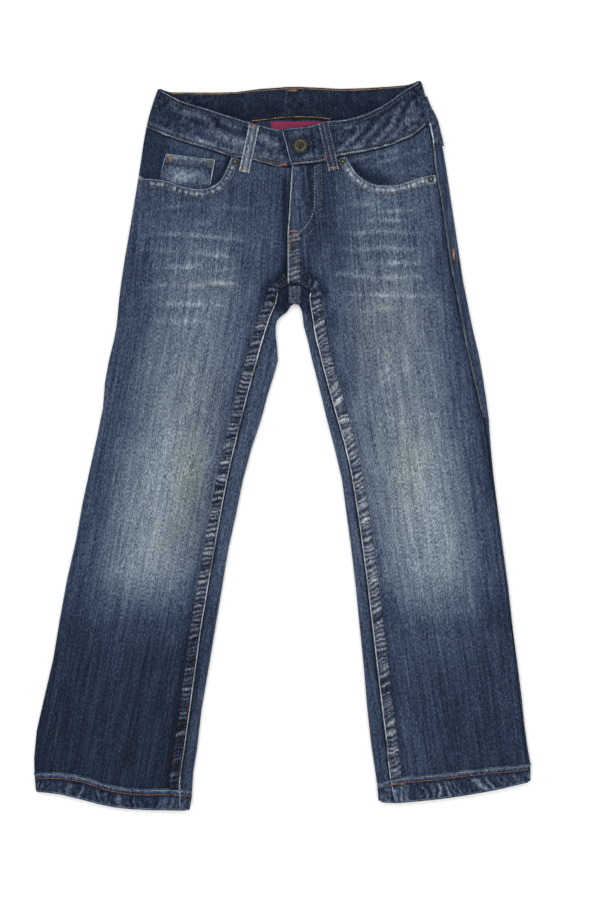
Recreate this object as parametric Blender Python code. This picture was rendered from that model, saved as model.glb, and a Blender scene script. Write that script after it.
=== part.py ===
# Jeans laid flat on the floor, front side up, waist toward +Y, hems toward -Y.
# Every piece that a maker cuts and sews is one closed solid.
# The plan tables use a measuring grid of 1.03 mm steps. u runs across to +X, v runs down to -Y.
# Heights and thicknesses are in millimetres.

import math

import bmesh
import bpy
from mathutils import Vector

# Sizes, mm unless they say steps
STEP = 1.03
MID_U = 282.288
MID_V = 445.561
CLOTH = 1.2
BAND = 2.4
TRIM = 0.9
GAP = 0.3
FOLD_REACH = 3.0
FOLD_TOP = 5.2
FLOOR_MID = CLOTH / 2
BAND_FOLD_TOP = 5.4
BAND_TOP = 4.2
HIP_HEIGHT = 3.8
LEG_HEIGHT = 2.8
POCKET_RISE = 1.5
INNER_TUCK = 12.0
FLY_RISE = 1.5
CROTCH_V = 284.4
CENTRE_U = 294.5
YOKE_TOP = 122.0
YOKE_LOW = 150.0
YOKE_DIP = 26.0
BUTTON_RADIUS = 8.1
RIVET_RADIUS = 3.0

# Outline of the cloth. Each row is v, u.
LEFT_OUT = [(86, 160), (90, 157.5), (100, 154), (120, 148), (140, 144), (160, 141), (180, 138), (210, 133),
            (240, 128), (270, 123), (300, 119), (330, 116), (360, 109), (390, 104), (420, 102), (450, 93),
            (480, 88), (510, 81), (540, 76), (570, 69), (600, 63), (630, 58), (660, 53), (690, 46),
            (720, 39), (745, 34.5), (765, 34), (780, 35), (800, 36.5)]
RIGHT_OUT = [(80, 420), (86, 423), (92, 425), (100, 427), (110, 431), (120, 436), (130, 438.4), (140, 441),
             (146, 442.4), (160, 445),
             (180, 448), (200, 451), (220, 454), (240, 457), (260, 460), (280, 463), (300, 467), (330, 473),
             (360, 480), (390, 485), (420, 489), (450, 491), (480, 494), (510, 498), (540, 502), (570, 506),
             (600, 510), (630, 513), (660, 517), (690, 521), (720, 524), (750, 528), (765, 530.5),
             (780, 530.5), (800, 531)]
LEFT_IN = [(375, 274), (390, 269), (405, 265), (420, 261), (435, 256), (450, 251), (480, 243), (510, 237),
           (540, 230), (570, 225), (600, 220), (630, 215), (660, 210), (690, 205), (720, 200), (750, 197),
           (780, 192.5), (795, 192), (812, 189)]
RIGHT_IN = [(375, 316), (390, 320), (405, 323), (420, 327), (450, 335), (480, 342), (510, 346), (540, 350),
            (570, 354), (600, 357), (630, 360), (660, 363), (690, 366), (720, 368), (750, 372), (770, 375),
            (784, 377), (802, 378.5)]
# The left outseam, under the left fold, and the right end fold of the band. Each row is v, u.
LEFT_UNDER = [(120, 157.5), (300, 128.5), (420, 110.5), (800, 41)]
BAND_OUT_RIGHT = [(81, 421), (92, 424.4), (100, 426.4), (110, 430.8), (118, 435.6)]
# Inseams and the right outseam, as they lie on the top side. Each row is v, u.
LEFT_SEAM = [(373, 253.8), (395, 247.6), (423, 240.7), (448, 234.5), (472, 229), (516, 220.5), (560, 213),
             (624, 202), (675, 195), (740, 186), (780, 180.4), (807, 179)]
RIGHT_SEAM = [(373, 324.3), (395, 330.4), (428, 339.6), (459, 348), (501, 355.5), (559, 364), (633, 373),
              (689, 379.6), (740, 386), (782, 392), (800, 394.4)]
RIGHT_SIDE = [(118, 429.6), (123, 429.6), (143, 433.6), (168, 436), (197, 441.5), (217, 444.4), (264, 451.3),
              (295, 457.5), (327, 463.6), (364, 471), (397, 479), (417, 483.7), (456, 489), (482, 492.4),
              (546, 500.4), (593, 507), (680, 517.2), (768, 527.2)]
# The crotch turn of each leg. Each row is seam u, seam v, fold u, fold v.
LEFT_TURN = [(294.2, 284.7, 294.2, 304), (288, 285, 290.5, 306), (281, 289.5, 286.5, 312.5),
             (278, 295, 281, 316.5), (277, 302, 276.7, 320.5), (273.5, 310, 275.3, 326.5),
             (268.3, 322, 275.4, 335), (263.5, 337, 277, 347), (258.6, 354, 278, 361)]
RIGHT_TURN = [(294.8, 284.7, 294.8, 304), (301, 285, 299, 305), (308, 289, 301.3, 309),
              (310, 294, 302.5, 313), (309, 300, 303.3, 319), (310.5, 309, 304, 326),
              (312.7, 322, 305.5, 332), (315.5, 336, 308.2, 342), (319.5, 355, 311.8, 359)]
# Waistband stations. Each row is top u, top v, low u, low v, middle height.
BAND_RIGHT = [(281.5, 129.6, 291, 164.4, 6.9), (289, 128.7, 297, 163.8, 6.9), (299, 127.5, 306, 163.2, 6.9),
              (309, 126.5, 316, 161.8, 6.6), (319, 123.6, 327, 160, 5.4), (331, 120.6, 338, 155.8, 4.5),
              (344, 119.6, 352, 152.8, 4.2), (360, 115.8, 368, 150, 4.3), (377, 108.6, 387, 145, 4.5),
              (392, 99.4, 404, 138.8, 4.4), (402, 92, 416, 132.8, 4.6), (411, 86.4, 425, 124.8, 4.9)]
BAND_LEFT = [(167, 93.6, 158, 131.4, 5.2), (179, 100, 172, 137.4, 5.3), (193, 104.8, 189, 142.8, 5.6),
             (208, 109.2, 206, 147.5, 5.4), (224, 114.4, 223, 153, 4.6), (240, 119.4, 239, 157.4, 4.3),
             (256, 124, 256, 160.4, 4.2), (270, 128, 271, 164.4, 4.2), (284, 131, 284, 165.6, 4.2),
             (298, 131.6, 299, 164.2, 4.2)]
BAND_BACK = [(408, 85, 425, 118.6, 1.2), (392, 86.4, 400, 119.6, 1.2), (366, 88, 368, 120.2, 1.2),
             (340, 88.8, 338, 119.6, 1.2), (320, 87.6, 320, 117.6, 1.2), (307, 87.1, 307, 117, 1.2),
             (300.5, 87, 300.5, 116.9, 2.7), (292.5, 87, 292.5, 116.8, 2.7), (284.5, 87.2, 284.5, 117, 2.7),
             (278, 87.6, 278, 117.9, 1.2), (262, 88.6, 260, 120, 1.2), (236, 92, 232, 122.6, 1.2),
             (212, 92.6, 212, 123.8, 1.2), (204, 92.7, 204, 124.3, 2.7), (196, 92.7, 196, 124.7, 2.7),
             (188, 92.6, 188, 125.1, 2.7), (180, 92.4, 180, 125.6, 1.2), (170, 92.2, 166, 126.4, 1.2)]
# Top edge of the front panels: pocket mouth, then waist seam. Each row is u, v.
MOUTH_LEFT = [(130, 178.5), (141, 178), (150, 178.3), (162.5, 179.5), (171, 181.8), (179, 185), (188, 187.4),
              (197, 188.7), (204, 188.6), (210, 187), (216, 184), (221, 179.5), (225.4, 171), (228.4, 164.5),
              (231, 158.5)]
WAIST_LEFT = [(140, 123.5), (148, 127), (158, 131.6), (168, 136), (189, 143), (206, 147.7), (231, 156),
              (253, 160), (278, 166.9), (300, 167.8)]
MOUTH_RIGHT = [(345.6, 154.6), (348, 159), (351, 165), (355, 171), (361, 177), (369, 182), (377, 184.4),
               (385, 185), (394, 184.6), (402, 183), (411, 180), (419, 177), (431, 174.5), (445, 174)]
WAIST_RIGHT = [(286, 165.6), (301, 163.8), (316, 162.1), (326.5, 160.2), (339, 155.6), (352, 153), (366, 150.6),
               (387, 145.4), (404, 139.2), (413.5, 134.5), (420, 129.6), (425, 125), (430, 121.6), (437, 118.2)]
BACK_WAIST = [(140, 128), (158, 127), (174, 126.2), (200, 124.8), (232, 122.8), (260, 120.2), (288, 117.2),
              (313, 117.2), (338, 119.8), (368, 120.4), (400, 119.8), (425, 118.8), (440, 118.2)]
# Hems. Each row is u, top v, low v.
HEM_LEFT = [(34, 774, 790.5), (45, 773.4, 791.2), (59, 773.6, 793), (72, 775.2, 796.2), (82, 777, 798.8),
            (92, 780, 801.4), (102, 783.6, 804), (116, 787, 806.6), (130, 789, 808.2), (145, 790, 809),
            (158, 789.6, 809.4), (170, 789.6, 809.6), (182, 790.4, 809.8), (192, 791, 809.6)]
HEM_RIGHT = [(378, 784.5, 800.4), (386, 781.4, 801.8), (398, 778.6, 802.2), (411, 777, 801.2),
             (424, 776, 800), (437, 774.8, 798.6), (450, 773, 796.9), (463, 771.4, 795), (476, 770, 792.8),
             (489, 768.6, 790.5), (501, 767.4, 788), (512, 766.6, 785.4), (522, 765.4, 783), (531, 763.6, 780.8)]
# Soft folds on the top side. Each row is u0, v0, u1, v1, half width in steps, height.
FOLDS = [(346, 205, 420, 203, 5, 0.45), (340, 219, 428, 222, 5, 0.5), (334, 233, 425, 233, 5, 0.45),
         (330, 248, 432, 250, 6, 0.5), (322, 264, 420, 266, 5, 0.45), (320, 279, 430, 283, 6, 0.5),
         (320, 296, 415, 300, 6, 0.35),
         (150, 205, 232, 207, 5, 0.45), (146, 221, 240, 222, 5, 0.5), (150, 238, 246, 236, 5, 0.45),
         (140, 252, 252, 250, 6, 0.5), (150, 268, 256, 266, 5, 0.45), (138, 285, 250, 283, 6, 0.5),
         (150, 303, 240, 300, 6, 0.35),
         (272, 262, 252, 330, 8, 0.8), (252, 330, 222, 420, 10, 0.6), (318, 262, 330, 330, 8, 0.7),
         (330, 330, 356, 420, 10, 0.6), (180, 330, 150, 470, 14, 0.5), (150, 470, 118, 620, 14, 0.5),
         (196, 440, 170, 560, 10, 0.4), (420, 330, 436, 470, 14, 0.5), (436, 470, 462, 640, 14, 0.5),
         (380, 440, 400, 560, 10, 0.4), (120, 640, 96, 760, 12, 0.5), (150, 600, 136, 770, 10, 0.4),
         (470, 600, 486, 760, 12, 0.5), (430, 640, 436, 770, 10, 0.4), (300, 176, 306, 250, 5, 0.4),
         (262, 180, 262, 260, 8, 0.5), (336, 190, 330, 250, 7, 0.5)]
# Back pockets, on the underside. Each row is u, v going round.
POCKET_LEFT = [(170, 224), (262, 221), (261, 300), (217, 330), (168, 305)]
POCKET_RIGHT = [(328, 221), (420, 224), (424, 304), (374, 330), (328, 300)]

# Colours
DENIM = (0.055, 0.095, 0.165, 1)
DENIM_DARK = (0.03, 0.05, 0.095, 1)
DENIM_PALE = (0.19, 0.25, 0.32, 1)
PINK = (0.55, 0.05, 0.2, 1)
BRONZE = (0.16, 0.12, 0.08, 1)

for old in list(bpy.data.objects):
    bpy.data.objects.remove(old)

garment = bpy.data.collections.new("jeans")
bpy.context.scene.collection.children.link(garment)


def lookup(table, key):
    """Smooth reading between the rows of a two column table."""
    count = len(table)
    if key <= table[0][0]:
        return table[0][1]
    if key >= table[-1][0]:
        return table[-1][1]
    i = 0
    while table[i + 1][0] < key:
        i += 1
    x0, y0 = table[i]
    x1, y1 = table[i + 1]
    step = x1 - x0
    mean = (y1 - y0) / step
    before = (y0 - table[i - 1][1]) / (x0 - table[i - 1][0]) if i > 0 else mean
    after = (table[i + 2][1] - y1) / (table[i + 2][0] - x1) if i + 2 < count else mean
    m0 = 0.0 if before * mean <= 0 else 2 * before * mean / (before + mean)
    m1 = 0.0 if after * mean <= 0 else 2 * after * mean / (after + mean)
    t = (key - x0) / step
    a = (1 + 2 * t) * (1 - t) * (1 - t)
    b = t * (1 - t) * (1 - t)
    c = t * t * (3 - 2 * t)
    d = t * t * (t - 1)
    return a * y0 + b * step * m0 + c * y1 + d * step * m1


def smooth(t):
    t = min(1.0, max(0.0, t))
    return t * t * (3 - 2 * t)


def near(u, v, u0, v0, u1, v1):
    """Distance from a place to a straight line piece, in steps."""
    du = u1 - u0
    dv = v1 - v0
    t = ((u - u0) * du + (v - v0) * dv) / (du * du + dv * dv)
    t = min(1.0, max(0.0, t))
    return math.hypot(u - u0 - t * du, v - v0 - t * dv)


LEFT_EDGE = [(u, v) for v, u in LEFT_OUT]
RIGHT_EDGE = [(u, v) for v, u in RIGHT_OUT]
LEFT_CREASE = [(row[2], row[3]) for row in LEFT_TURN] + [(u, v) for v, u in LEFT_IN]
RIGHT_CREASE = [(row[2], row[3]) for row in RIGHT_TURN] + [(u, v) for v, u in RIGHT_IN]


def fold_reach(u, v):
    """Distance from the nearest folded edge to a place on the cloth, mm, at mid cloth."""
    best = 1e9
    for line in (LEFT_EDGE, RIGHT_EDGE, LEFT_CREASE, RIGHT_CREASE):
        for (u0, v0), (u1, v1) in zip(line, line[1:]):
            if min(v0, v1) - 60 < v < max(v0, v1) + 60:
                best = min(best, near(u, v, u0, v0, u1, v1))
    return best * STEP - CLOTH / 2


def mouth_lift(u, v):
    """The left mouth stands up over the coin pocket."""
    best = 1e9
    for (u0, v0), (u1, v1) in zip(MOUTH_LEFT[1:], MOUTH_LEFT[2:]):
        best = min(best, near(u, v, u0, v0, u1, v1))
    return 1.6 * math.exp(-(best / 15) ** 4)


def top_height(u, v):
    """Mid cloth height of the top layer at a place."""
    reach = fold_reach(u, v)
    if reach < FOLD_REACH:
        side = 1 - max(0.0, reach) / FOLD_REACH
        middle = (FLOOR_MID + FOLD_TOP) / 2
        return middle + (FOLD_TOP - middle) * math.sqrt(max(0.0, 1 - side * side))
    base = HIP_HEIGHT + (LEG_HEIGHT - HIP_HEIGHT) * smooth((v - 240) / 110)
    if 180 < v < 370:
        base = max(base, floor_height(u, v) + CLOTH + GAP + 0.25)
    calm = smooth((reach - FOLD_REACH) / 14)
    height = base + (FOLD_TOP - base) * math.exp(-(((reach - FOLD_REACH) / 11) ** 2))
    for u0, v0, u1, v1, half, rise in FOLDS:
        away = near(u, v, u0, v0, u1, v1)
        if away < 3 * half:
            height += calm * rise * math.exp(-((away / half) ** 2))
    if u < 240 and v < 230:
        height += calm * mouth_lift(u, v)
    return height


def fly_height(u, v):
    """Right front height: its edge laps over the left front."""
    return top_height(u, v) + FLY_RISE * (1 - smooth((u - 299) / 11)) * (1 - smooth((v - 282) / 8))


def inside(u, v, outline):
    """How far a place is outside an outline, in steps, 0 when inside."""
    count = len(outline)
    crossings = 0
    best = 1e9
    for i in range(count):
        u0, v0 = outline[i]
        u1, v1 = outline[(i + 1) % count]
        best = min(best, near(u, v, u0, v0, u1, v1))
        if (v0 > v) != (v1 > v) and u < (u1 - u0) * (v - v0) / (v1 - v0) + u0:
            crossings += 1
    return 0.0 if crossings % 2 else best


def floor_height(u, v):
    """Mid cloth height of the back layer: it steps over the back pockets."""
    away = min(inside(u, v, POCKET_LEFT), inside(u, v, POCKET_RIGHT))
    return FLOOR_MID + POCKET_RISE * (1 - smooth((away - 13) / 9))


def material(name, colour, rough=0.9, metal=0.0):
    made = bpy.data.materials.new(name)
    made.use_nodes = True
    shader = made.node_tree.nodes["Principled BSDF"]
    shader.inputs["Base Color"].default_value = colour
    shader.inputs["Roughness"].default_value = rough
    shader.inputs["Metallic"].default_value = metal
    made.diffuse_color = colour
    return made


def place(u, v, z):
    return Vector(((u - MID_U) * STEP / 1000, (MID_V - v) * STEP / 1000, z / 1000))


def add_object(name, bm, colour, rough=0.9, metal=0.0):
    bmesh.ops.recalc_face_normals(bm, faces=bm.faces[:])
    mesh = bpy.data.meshes.new(name)
    bm.to_mesh(mesh)
    bm.free()
    made = bpy.data.objects.new(name, mesh)
    garment.objects.link(made)
    mesh.materials.append(material(name, colour, rough, metal))
    return made


def sheet(name, rows, thick, colour, closed=False):
    """A wall of one thickness on rows of places. Each place is u, v, height."""
    points = [[place(*p) for p in row] for row in rows]
    high = len(points)
    wide = len(points[0])
    cells = wide if closed else wide - 1
    bm = bmesh.new()
    above = []
    below = []
    for i in range(high):
        for j in range(wide):
            if closed:
                along = points[i][(j + 1) % wide] - points[i][j - 1]
            else:
                along = points[i][min(j + 1, wide - 1)] - points[i][max(j - 1, 0)]
            down = points[min(i + 1, high - 1)][j] - points[max(i - 1, 0)][j]
            normal = down.cross(along).normalized() * (thick / 2000)
            above.append(bm.verts.new(points[i][j] + normal))
            below.append(bm.verts.new(points[i][j] - normal))
    for i in range(high - 1):
        for j in range(cells):
            k = (j + 1) % wide
            a, b, c, d = i * wide + j, i * wide + k, (i + 1) * wide + k, (i + 1) * wide + j
            bm.faces.new((above[a], above[b], above[c], above[d]))
            bm.faces.new((below[d], below[c], below[b], below[a]))
    for j in range(cells):
        k = (j + 1) % wide
        low = (high - 1) * wide
        bm.faces.new((above[k], above[j], below[j], below[k]))
        bm.faces.new((above[low + j], above[low + k], below[low + k], below[low + j]))
    if not closed:
        for i in range(high - 1):
            a, b = i * wide, (i + 1) * wide
            bm.faces.new((above[a], above[b], below[b], below[a]))
            a += wide - 1
            b += wide - 1
            bm.faces.new((above[b], above[a], below[a], below[b]))
    return add_object(name, bm, colour)


def spread(first, last, count):
    return [first + (last - first) * i / (count - 1) for i in range(count)]


def arc_places(u, v, du, dv, low, high, half, angles):
    """Places round a folded edge. du, dv points outward, u and v are on the outline."""
    middle = (low + high) / 2
    made = []
    for angle in angles:
        turn = math.radians(angle)
        back = (half + FOLD_REACH * (1 - math.cos(turn))) / STEP
        made.append((u - du * back, v - dv * back, middle + (high - middle) * math.sin(turn)))
    return made


# Front panels
FRONT_V = [178, 187, 196, 205, 213, 221, 229, 237, 244, 252, 260, 268, 276, 283.8, 286.4, 289, 292.5, 298, 306,
           316, 328, 342, 360, 382, 408, 438, 470, 504, 540, 580, 620, 660, 700, 740, 770, 786]
FRONT_EDGE_LEFT = [(150, 296), (281, 296), (283.8, 289.5), (286.4, 283.4), (289, 280.4), (292.5, 278), (298, 276.9),
                   (303, 276), (310, 273), (322, 268), (337, 263.2), (354, 258.3)]
FRONT_EDGE_RIGHT = [(150, 292.6), (166, 292), (200, 290.4), (230, 288.2), (283, 288.2), (283.8, 300),
                    (286.4, 305), (289, 309), (292.5, 310.4), (298, 309.8), (303, 309.9), (310, 311),
                    (322, 313), (337, 315.9), (354, 319.8)]
edge_left = FRONT_EDGE_LEFT + [(v, u - 0.4) for v, u in LEFT_SEAM]
edge_right = FRONT_EDGE_RIGHT + [(v, u + 0.4) for v, u in RIGHT_SEAM]
hem_left_top = [(row[0], row[1] - 0.5) for row in HEM_LEFT]
hem_right_top = [(row[0], row[1] - 0.5) for row in HEM_RIGHT]


def front_top_left(u):
    return lookup(MOUTH_LEFT, u) if u < 231 else lookup(WAIST_LEFT, u)


def front_top_right(u):
    return lookup(MOUTH_RIGHT, u) if u > 345.6 else lookup(WAIST_RIGHT, u)


def front_v(u, v, top, hem):
    """Moves a level row so the first follows the top edge and the last follows the hem."""
    first = (top(u) + 0.6 - FRONT_V[0]) * (1 - smooth((v - FRONT_V[0]) / 60))
    last = (lookup(hem, u) - FRONT_V[-1]) * smooth((v - 640) / (FRONT_V[-1] - 640))
    return v + first + last


LEFT_SHARE = [0.0, 0.08, 0.18, 0.30, 0.42, 0.51, 0.56, 0.60, 0.65, 0.74, 0.85, 0.94, 1.0]
rows = []
for level in FRONT_V:
    outer = lookup(LEFT_OUT, level)
    inner = lookup(edge_left, level)
    v = front_v(outer, level, front_top_left, hem_left_top)
    outer = lookup(LEFT_OUT, v)
    under_v = front_v(lookup(LEFT_UNDER, v), level, front_top_left, hem_left_top)
    row = [(lookup(LEFT_UNDER, under_v), under_v, FLOOR_MID)]
    row += arc_places(outer, v, -1, 0, FLOOR_MID, FOLD_TOP, CLOTH / 2, (-90, -40, 0, 40))
    start = outer + (CLOTH / 2 + FOLD_REACH) / STEP
    inner = lookup(edge_left, front_v(inner, level, front_top_left, hem_left_top))
    for share in LEFT_SHARE:
        u = start + (inner - start) * share
        v = front_v(u, level, front_top_left, hem_left_top)
        row.append((u, v, top_height(u, v)))
    rows.append(row)
sheet("front_left", rows, CLOTH, DENIM)

RIGHT_SHARE = [0.0, 0.06, 0.12, 0.19, 0.29, 0.37, 0.41, 0.47, 0.56, 0.67, 0.79, 0.90, 1.0]
rows = []
for level in FRONT_V:
    inner = lookup(edge_right, level)
    inner = lookup(edge_right, front_v(inner, level, front_top_right, hem_right_top))
    outer = lookup(RIGHT_SIDE, level) - 0.4
    row = []
    for share in RIGHT_SHARE:
        u = inner + (outer - inner) * share
        v = front_v(u, level, front_top_right, hem_right_top)
        u = inner + (lookup(RIGHT_SIDE, v) - 0.4 - inner) * share
        v = front_v(u, level, front_top_right, hem_right_top)
        row.append((u, v, fly_height(u, v)))
    rows.append(row)
sheet("front_right", rows, CLOTH, DENIM)

# Back panels and yokes
BACK_V = [150.15, 170, 190, 205, 218, 232, 250, 266, 280]
LEG_V = [376, 396, 420, 448, 480, 514, 550, 588, 628, 668, 708, 744, 768, 786]
FLOOR_SHARE = [0.0, 0.11, 0.23, 0.36, 0.5, 0.64, 0.77, 0.89, 1.0]


def back_v(u, v):
    dip = YOKE_DIP * (1 - abs(u - CENTRE_U) / 152)
    if v <= YOKE_LOW:
        share = (v - YOKE_TOP) / (YOKE_LOW - YOKE_TOP)
        return v + (lookup(BACK_WAIST, u) + 0.3 - YOKE_TOP) * (1 - share) + dip * share
    return v + dip * (1 - smooth((v - YOKE_LOW) / 80))


def floor_places(u0, v0, u1, v1):
    made = []
    for share in FLOOR_SHARE:
        u = u0 + (u1 - u0) * share
        v = v0 + (v1 - v0) * share
        made.append((u, v))
    return made


def hem_v(u, v, hem):
    return v + (lookup(hem, u) - LEG_V[-1]) * smooth((v - 640) / (LEG_V[-1] - 640))


def turn_wrap(seam_u, seam_v, fold_u, fold_v):
    """Places from the floor round an inner fold to the seam on the top side."""
    length = math.hypot(fold_u - seam_u, fold_v - seam_v)
    du = (fold_u - seam_u) / length
    dv = (fold_v - seam_v) / length
    made = arc_places(fold_u, fold_v, du, dv, FLOOR_MID, FOLD_TOP, CLOTH / 2, (-90, -45, 0, 45, 90))
    start_u, start_v, high = made[-1]
    for share in (0.5, 1.0):
        u = start_u + (seam_u - start_u) * share
        v = start_v + (seam_v - start_v) * share
        made.append((u, v, top_height(u, v)))
    base = (fold_u - du * INNER_TUCK / STEP, fold_v - dv * INNER_TUCK / STEP)
    return base, made


def leg_rows(turns, seam, fold, hem, side):
    """Rows of a back panel below the crotch: base place, wrap places, level."""
    made = []
    for row in turns:
        base, wrap = turn_wrap(*row)
        made.append((base, wrap, base[1]))
    for level in LEG_V:
        fold_v = hem_v(lookup(fold, level), level, hem)
        seam_v = hem_v(lookup(seam, level), level, hem)
        base, wrap = turn_wrap(lookup(seam, seam_v) + side * 0.3, seam_v, lookup(fold, fold_v), fold_v)
        made.append((base, wrap, level))
    return made


def right_side_wrap(level, v_seam, v_fold):
    """Places from the outseam on the top side round the right fold to the floor."""
    fold = lookup(RIGHT_OUT, v_fold)
    seam = lookup(RIGHT_SIDE, v_seam) + 0.4
    path = []
    reach = (fold - seam) * STEP - CLOTH / 2
    if reach > FOLD_REACH + 0.5:
        for share in spread(0, 1, 9)[:-1]:
            u = seam + (fold - (CLOTH / 2 + FOLD_REACH) / STEP - seam) * share
            v = v_seam + (v_fold - v_seam) * share
            path.append((u, v, top_height(u, v)))
        first = 90
    else:
        first = math.degrees(math.acos(max(-1.0, 1 - min(reach, FOLD_REACH) / FOLD_REACH)))
    path += arc_places(fold, v_fold, 1, 0, FLOOR_MID, FOLD_TOP, CLOTH / 2, spread(first, -90, 13))
    total = [0.0]
    for a, b in zip(path, path[1:]):
        total.append(total[-1] + math.hypot((b[0] - a[0]) * STEP, b[2] - a[2]))
    made = []
    for want in spread(0, total[-1], 8):
        i = 0
        while i < len(path) - 2 and total[i + 1] < want:
            i += 1
        span = total[i + 1] - total[i]
        t = (want - total[i]) / span
        made.append(tuple(p + (q - p) * t for p, q in zip(path[i], path[i + 1])))
    return made


def upper_left(level):
    outer = lookup(LEFT_UNDER, level) + 0.8
    line = floor_places(outer, level, CENTRE_U - 0.3, level)
    return [(u, back_v(u, v), floor_height(u, back_v(u, v))) for u, v in line]


def upper_right(level):
    fade = 1 - smooth((level - YOKE_TOP) / 26)
    fold_v = back_v(lookup(RIGHT_OUT, level), level)
    wrap = right_side_wrap(level, fold_v + 5.0 * fade, fold_v)
    line = floor_places(wrap[-1][0] - 2.2, level, CENTRE_U + 0.3, level)
    return wrap + [(u, back_v(u, v), floor_height(u, back_v(u, v))) for u, v in line]


yoke_levels = (YOKE_TOP, 131, 140, YOKE_LOW - 0.15)
sheet("yoke_left", [upper_left(level) for level in yoke_levels], CLOTH, DENIM_DARK)
sheet("yoke_right", [upper_right(level) for level in yoke_levels], CLOTH, DENIM_DARK)


def grid_solid(name, points, count, keep, colour):
    high = len(points)
    wide = len(points[0])
    bm = bmesh.new()
    above = {}
    below = {}

    def there(i, j):
        return 0 <= i < high and 0 <= j < wide and (i >= count or keep(j))

    for i in range(high):
        for j in range(wide):
            if not there(i, j):
                continue
            j0 = j - 1 if there(i, j - 1) else j
            j1 = j + 1 if there(i, j + 1) else j
            i0 = i - 1 if there(i - 1, j) else i
            i1 = i + 1 if there(i + 1, j) else i
            along = points[i][j1] - points[i][j0]
            down = points[i1][j] - points[i0][j]
            normal = down.cross(along).normalized() * (CLOTH / 2000)
            above[i, j] = bm.verts.new(points[i][j] + normal)
            below[i, j] = bm.verts.new(points[i][j] - normal)
    cells = set()
    for i in range(high - 1):
        for j in range(wide - 1):
            if there(i, j) and there(i, j + 1) and there(i + 1, j) and there(i + 1, j + 1):
                cells.add((i, j))
                ring = ((i, j), (i, j + 1), (i + 1, j + 1), (i + 1, j))
                bm.faces.new([above[k] for k in ring])
                bm.faces.new([below[k] for k in reversed(ring)])
    for i, j in sorted(cells):
        for other, a, b in (((i - 1, j), (i, j + 1), (i, j)), ((i + 1, j), (i + 1, j), (i + 1, j + 1)),
                            ((i, j - 1), (i, j), (i + 1, j)), ((i, j + 1), (i + 1, j + 1), (i, j + 1))):
            if other not in cells:
                bm.faces.new((above[a], above[b], below[b], below[a]))
    return add_object(name, bm, colour)


def back_panel(name, upper, legs, wrap_first, wrap_count):
    """Rows above the crotch have no inner wrap, rows below do."""
    rows = []
    for line in upper:
        rows.append(line + [line[-1]] * wrap_count)
    rows += legs
    points = [[place(*p) for p in row] for row in rows]
    return grid_solid(name, points, len(upper), lambda j: j < wrap_first, DENIM)


legs = []
for base, wrap, level in leg_rows(LEFT_TURN, LEFT_SEAM, LEFT_IN, hem_left_top, 1):
    outer = lookup(LEFT_UNDER, level) + 0.8
    start_v = hem_v(outer, level, hem_left_top) if level > 370 else level
    outer = lookup(LEFT_UNDER, start_v) + 0.8
    line = []
    for u, v in floor_places(outer, start_v, base[0], base[1]):
        if level > 370:
            v = hem_v(u, level, hem_left_top)
        line.append((u, v, floor_height(u, v)))
    legs.append(line + wrap)
upper = [upper_left(level) for level in BACK_V]
back_panel("back_left", upper, legs, len(upper[0]), 7)

legs = []
for base, wrap, level in leg_rows(RIGHT_TURN, RIGHT_SEAM, RIGHT_IN, hem_right_top, -1):
    fold_v = hem_v(lookup(RIGHT_OUT, level), level, hem_right_top) if level > 370 else level
    side = right_side_wrap(level, fold_v, fold_v)
    line = []
    for u, v in floor_places(side[-1][0] - 2.2, fold_v, base[0], base[1]):
        if level > 370:
            v = hem_v(u, level, hem_right_top)
        line.append((u, v, floor_height(u, v)))
    legs.append(side + line + wrap)
upper = [upper_right(level) for level in BACK_V]
back_panel("back_right", upper, legs, len(upper[0]), 7)


# Waistband: one strip from the right end on top, round the back, to the left end beneath
def band_stations(table, share):
    return [(a + (c - a) * share, b + (d - b) * share, h) for a, b, c, d, h in table]


def band_row(share):
    """All places round the waist at one share of the band's depth."""
    row = band_stations(BAND_RIGHT, share)
    v = 81.6 + 36.3 * share
    turn = (90, 50, 15, -15, -50, -90)
    row += arc_places(lookup(BAND_OUT_RIGHT, v), v, 1, 0, BAND / 2, BAND_FOLD_TOP, BAND / 2, turn)
    row += band_stations(BAND_BACK, share)
    v = 89.6 + 37.3 * share
    turn = (-90, -50, -15, 15, 50, 90)
    row += arc_places(lookup(LEFT_OUT, v), v, -1, 0, BAND / 2, BAND_FOLD_TOP, BAND / 2, turn)
    return row + band_stations(BAND_LEFT, share)


sheet("waistband", [band_row(share) for share in (0, 0.25, 0.5, 0.75, 1)], BAND, DENIM)


def band_height(u, v):
    """Mid height of the front of the waistband at a place."""
    for table in (BAND_RIGHT, BAND_LEFT):
        share = min(1.0, max(0.0, (v - table[3][1]) / 36))
        line = band_stations(table, share)
        for (u0, v0, h0), (u1, v1, h1) in zip(line, line[1:]):
            if u0 <= u <= u1:
                return h0 + (h1 - h0) * (u - u0) / (u1 - u0)
    return BAND_TOP


# Hip facings, under the pocket mouths
def facing_height(u, v, waist, mouth):
    upper = lookup(waist, u)
    lower = lookup(mouth, u)
    share = smooth((v - upper) / max(6.0, lower - upper - 2))
    under = (u - 221) / 6 if mouth is MOUTH_LEFT else (357 - u) / 7
    share = max(share, smooth(under))
    reach = fold_reach(u, v)
    if reach < FOLD_REACH:
        return top_height(u, v)
    lowered = 2.35
    full = 3.7
    height = full + (lowered - full) * share
    return height + (FOLD_TOP - height) * math.exp(-(((reach - FOLD_REACH) / 7) ** 2))


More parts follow.
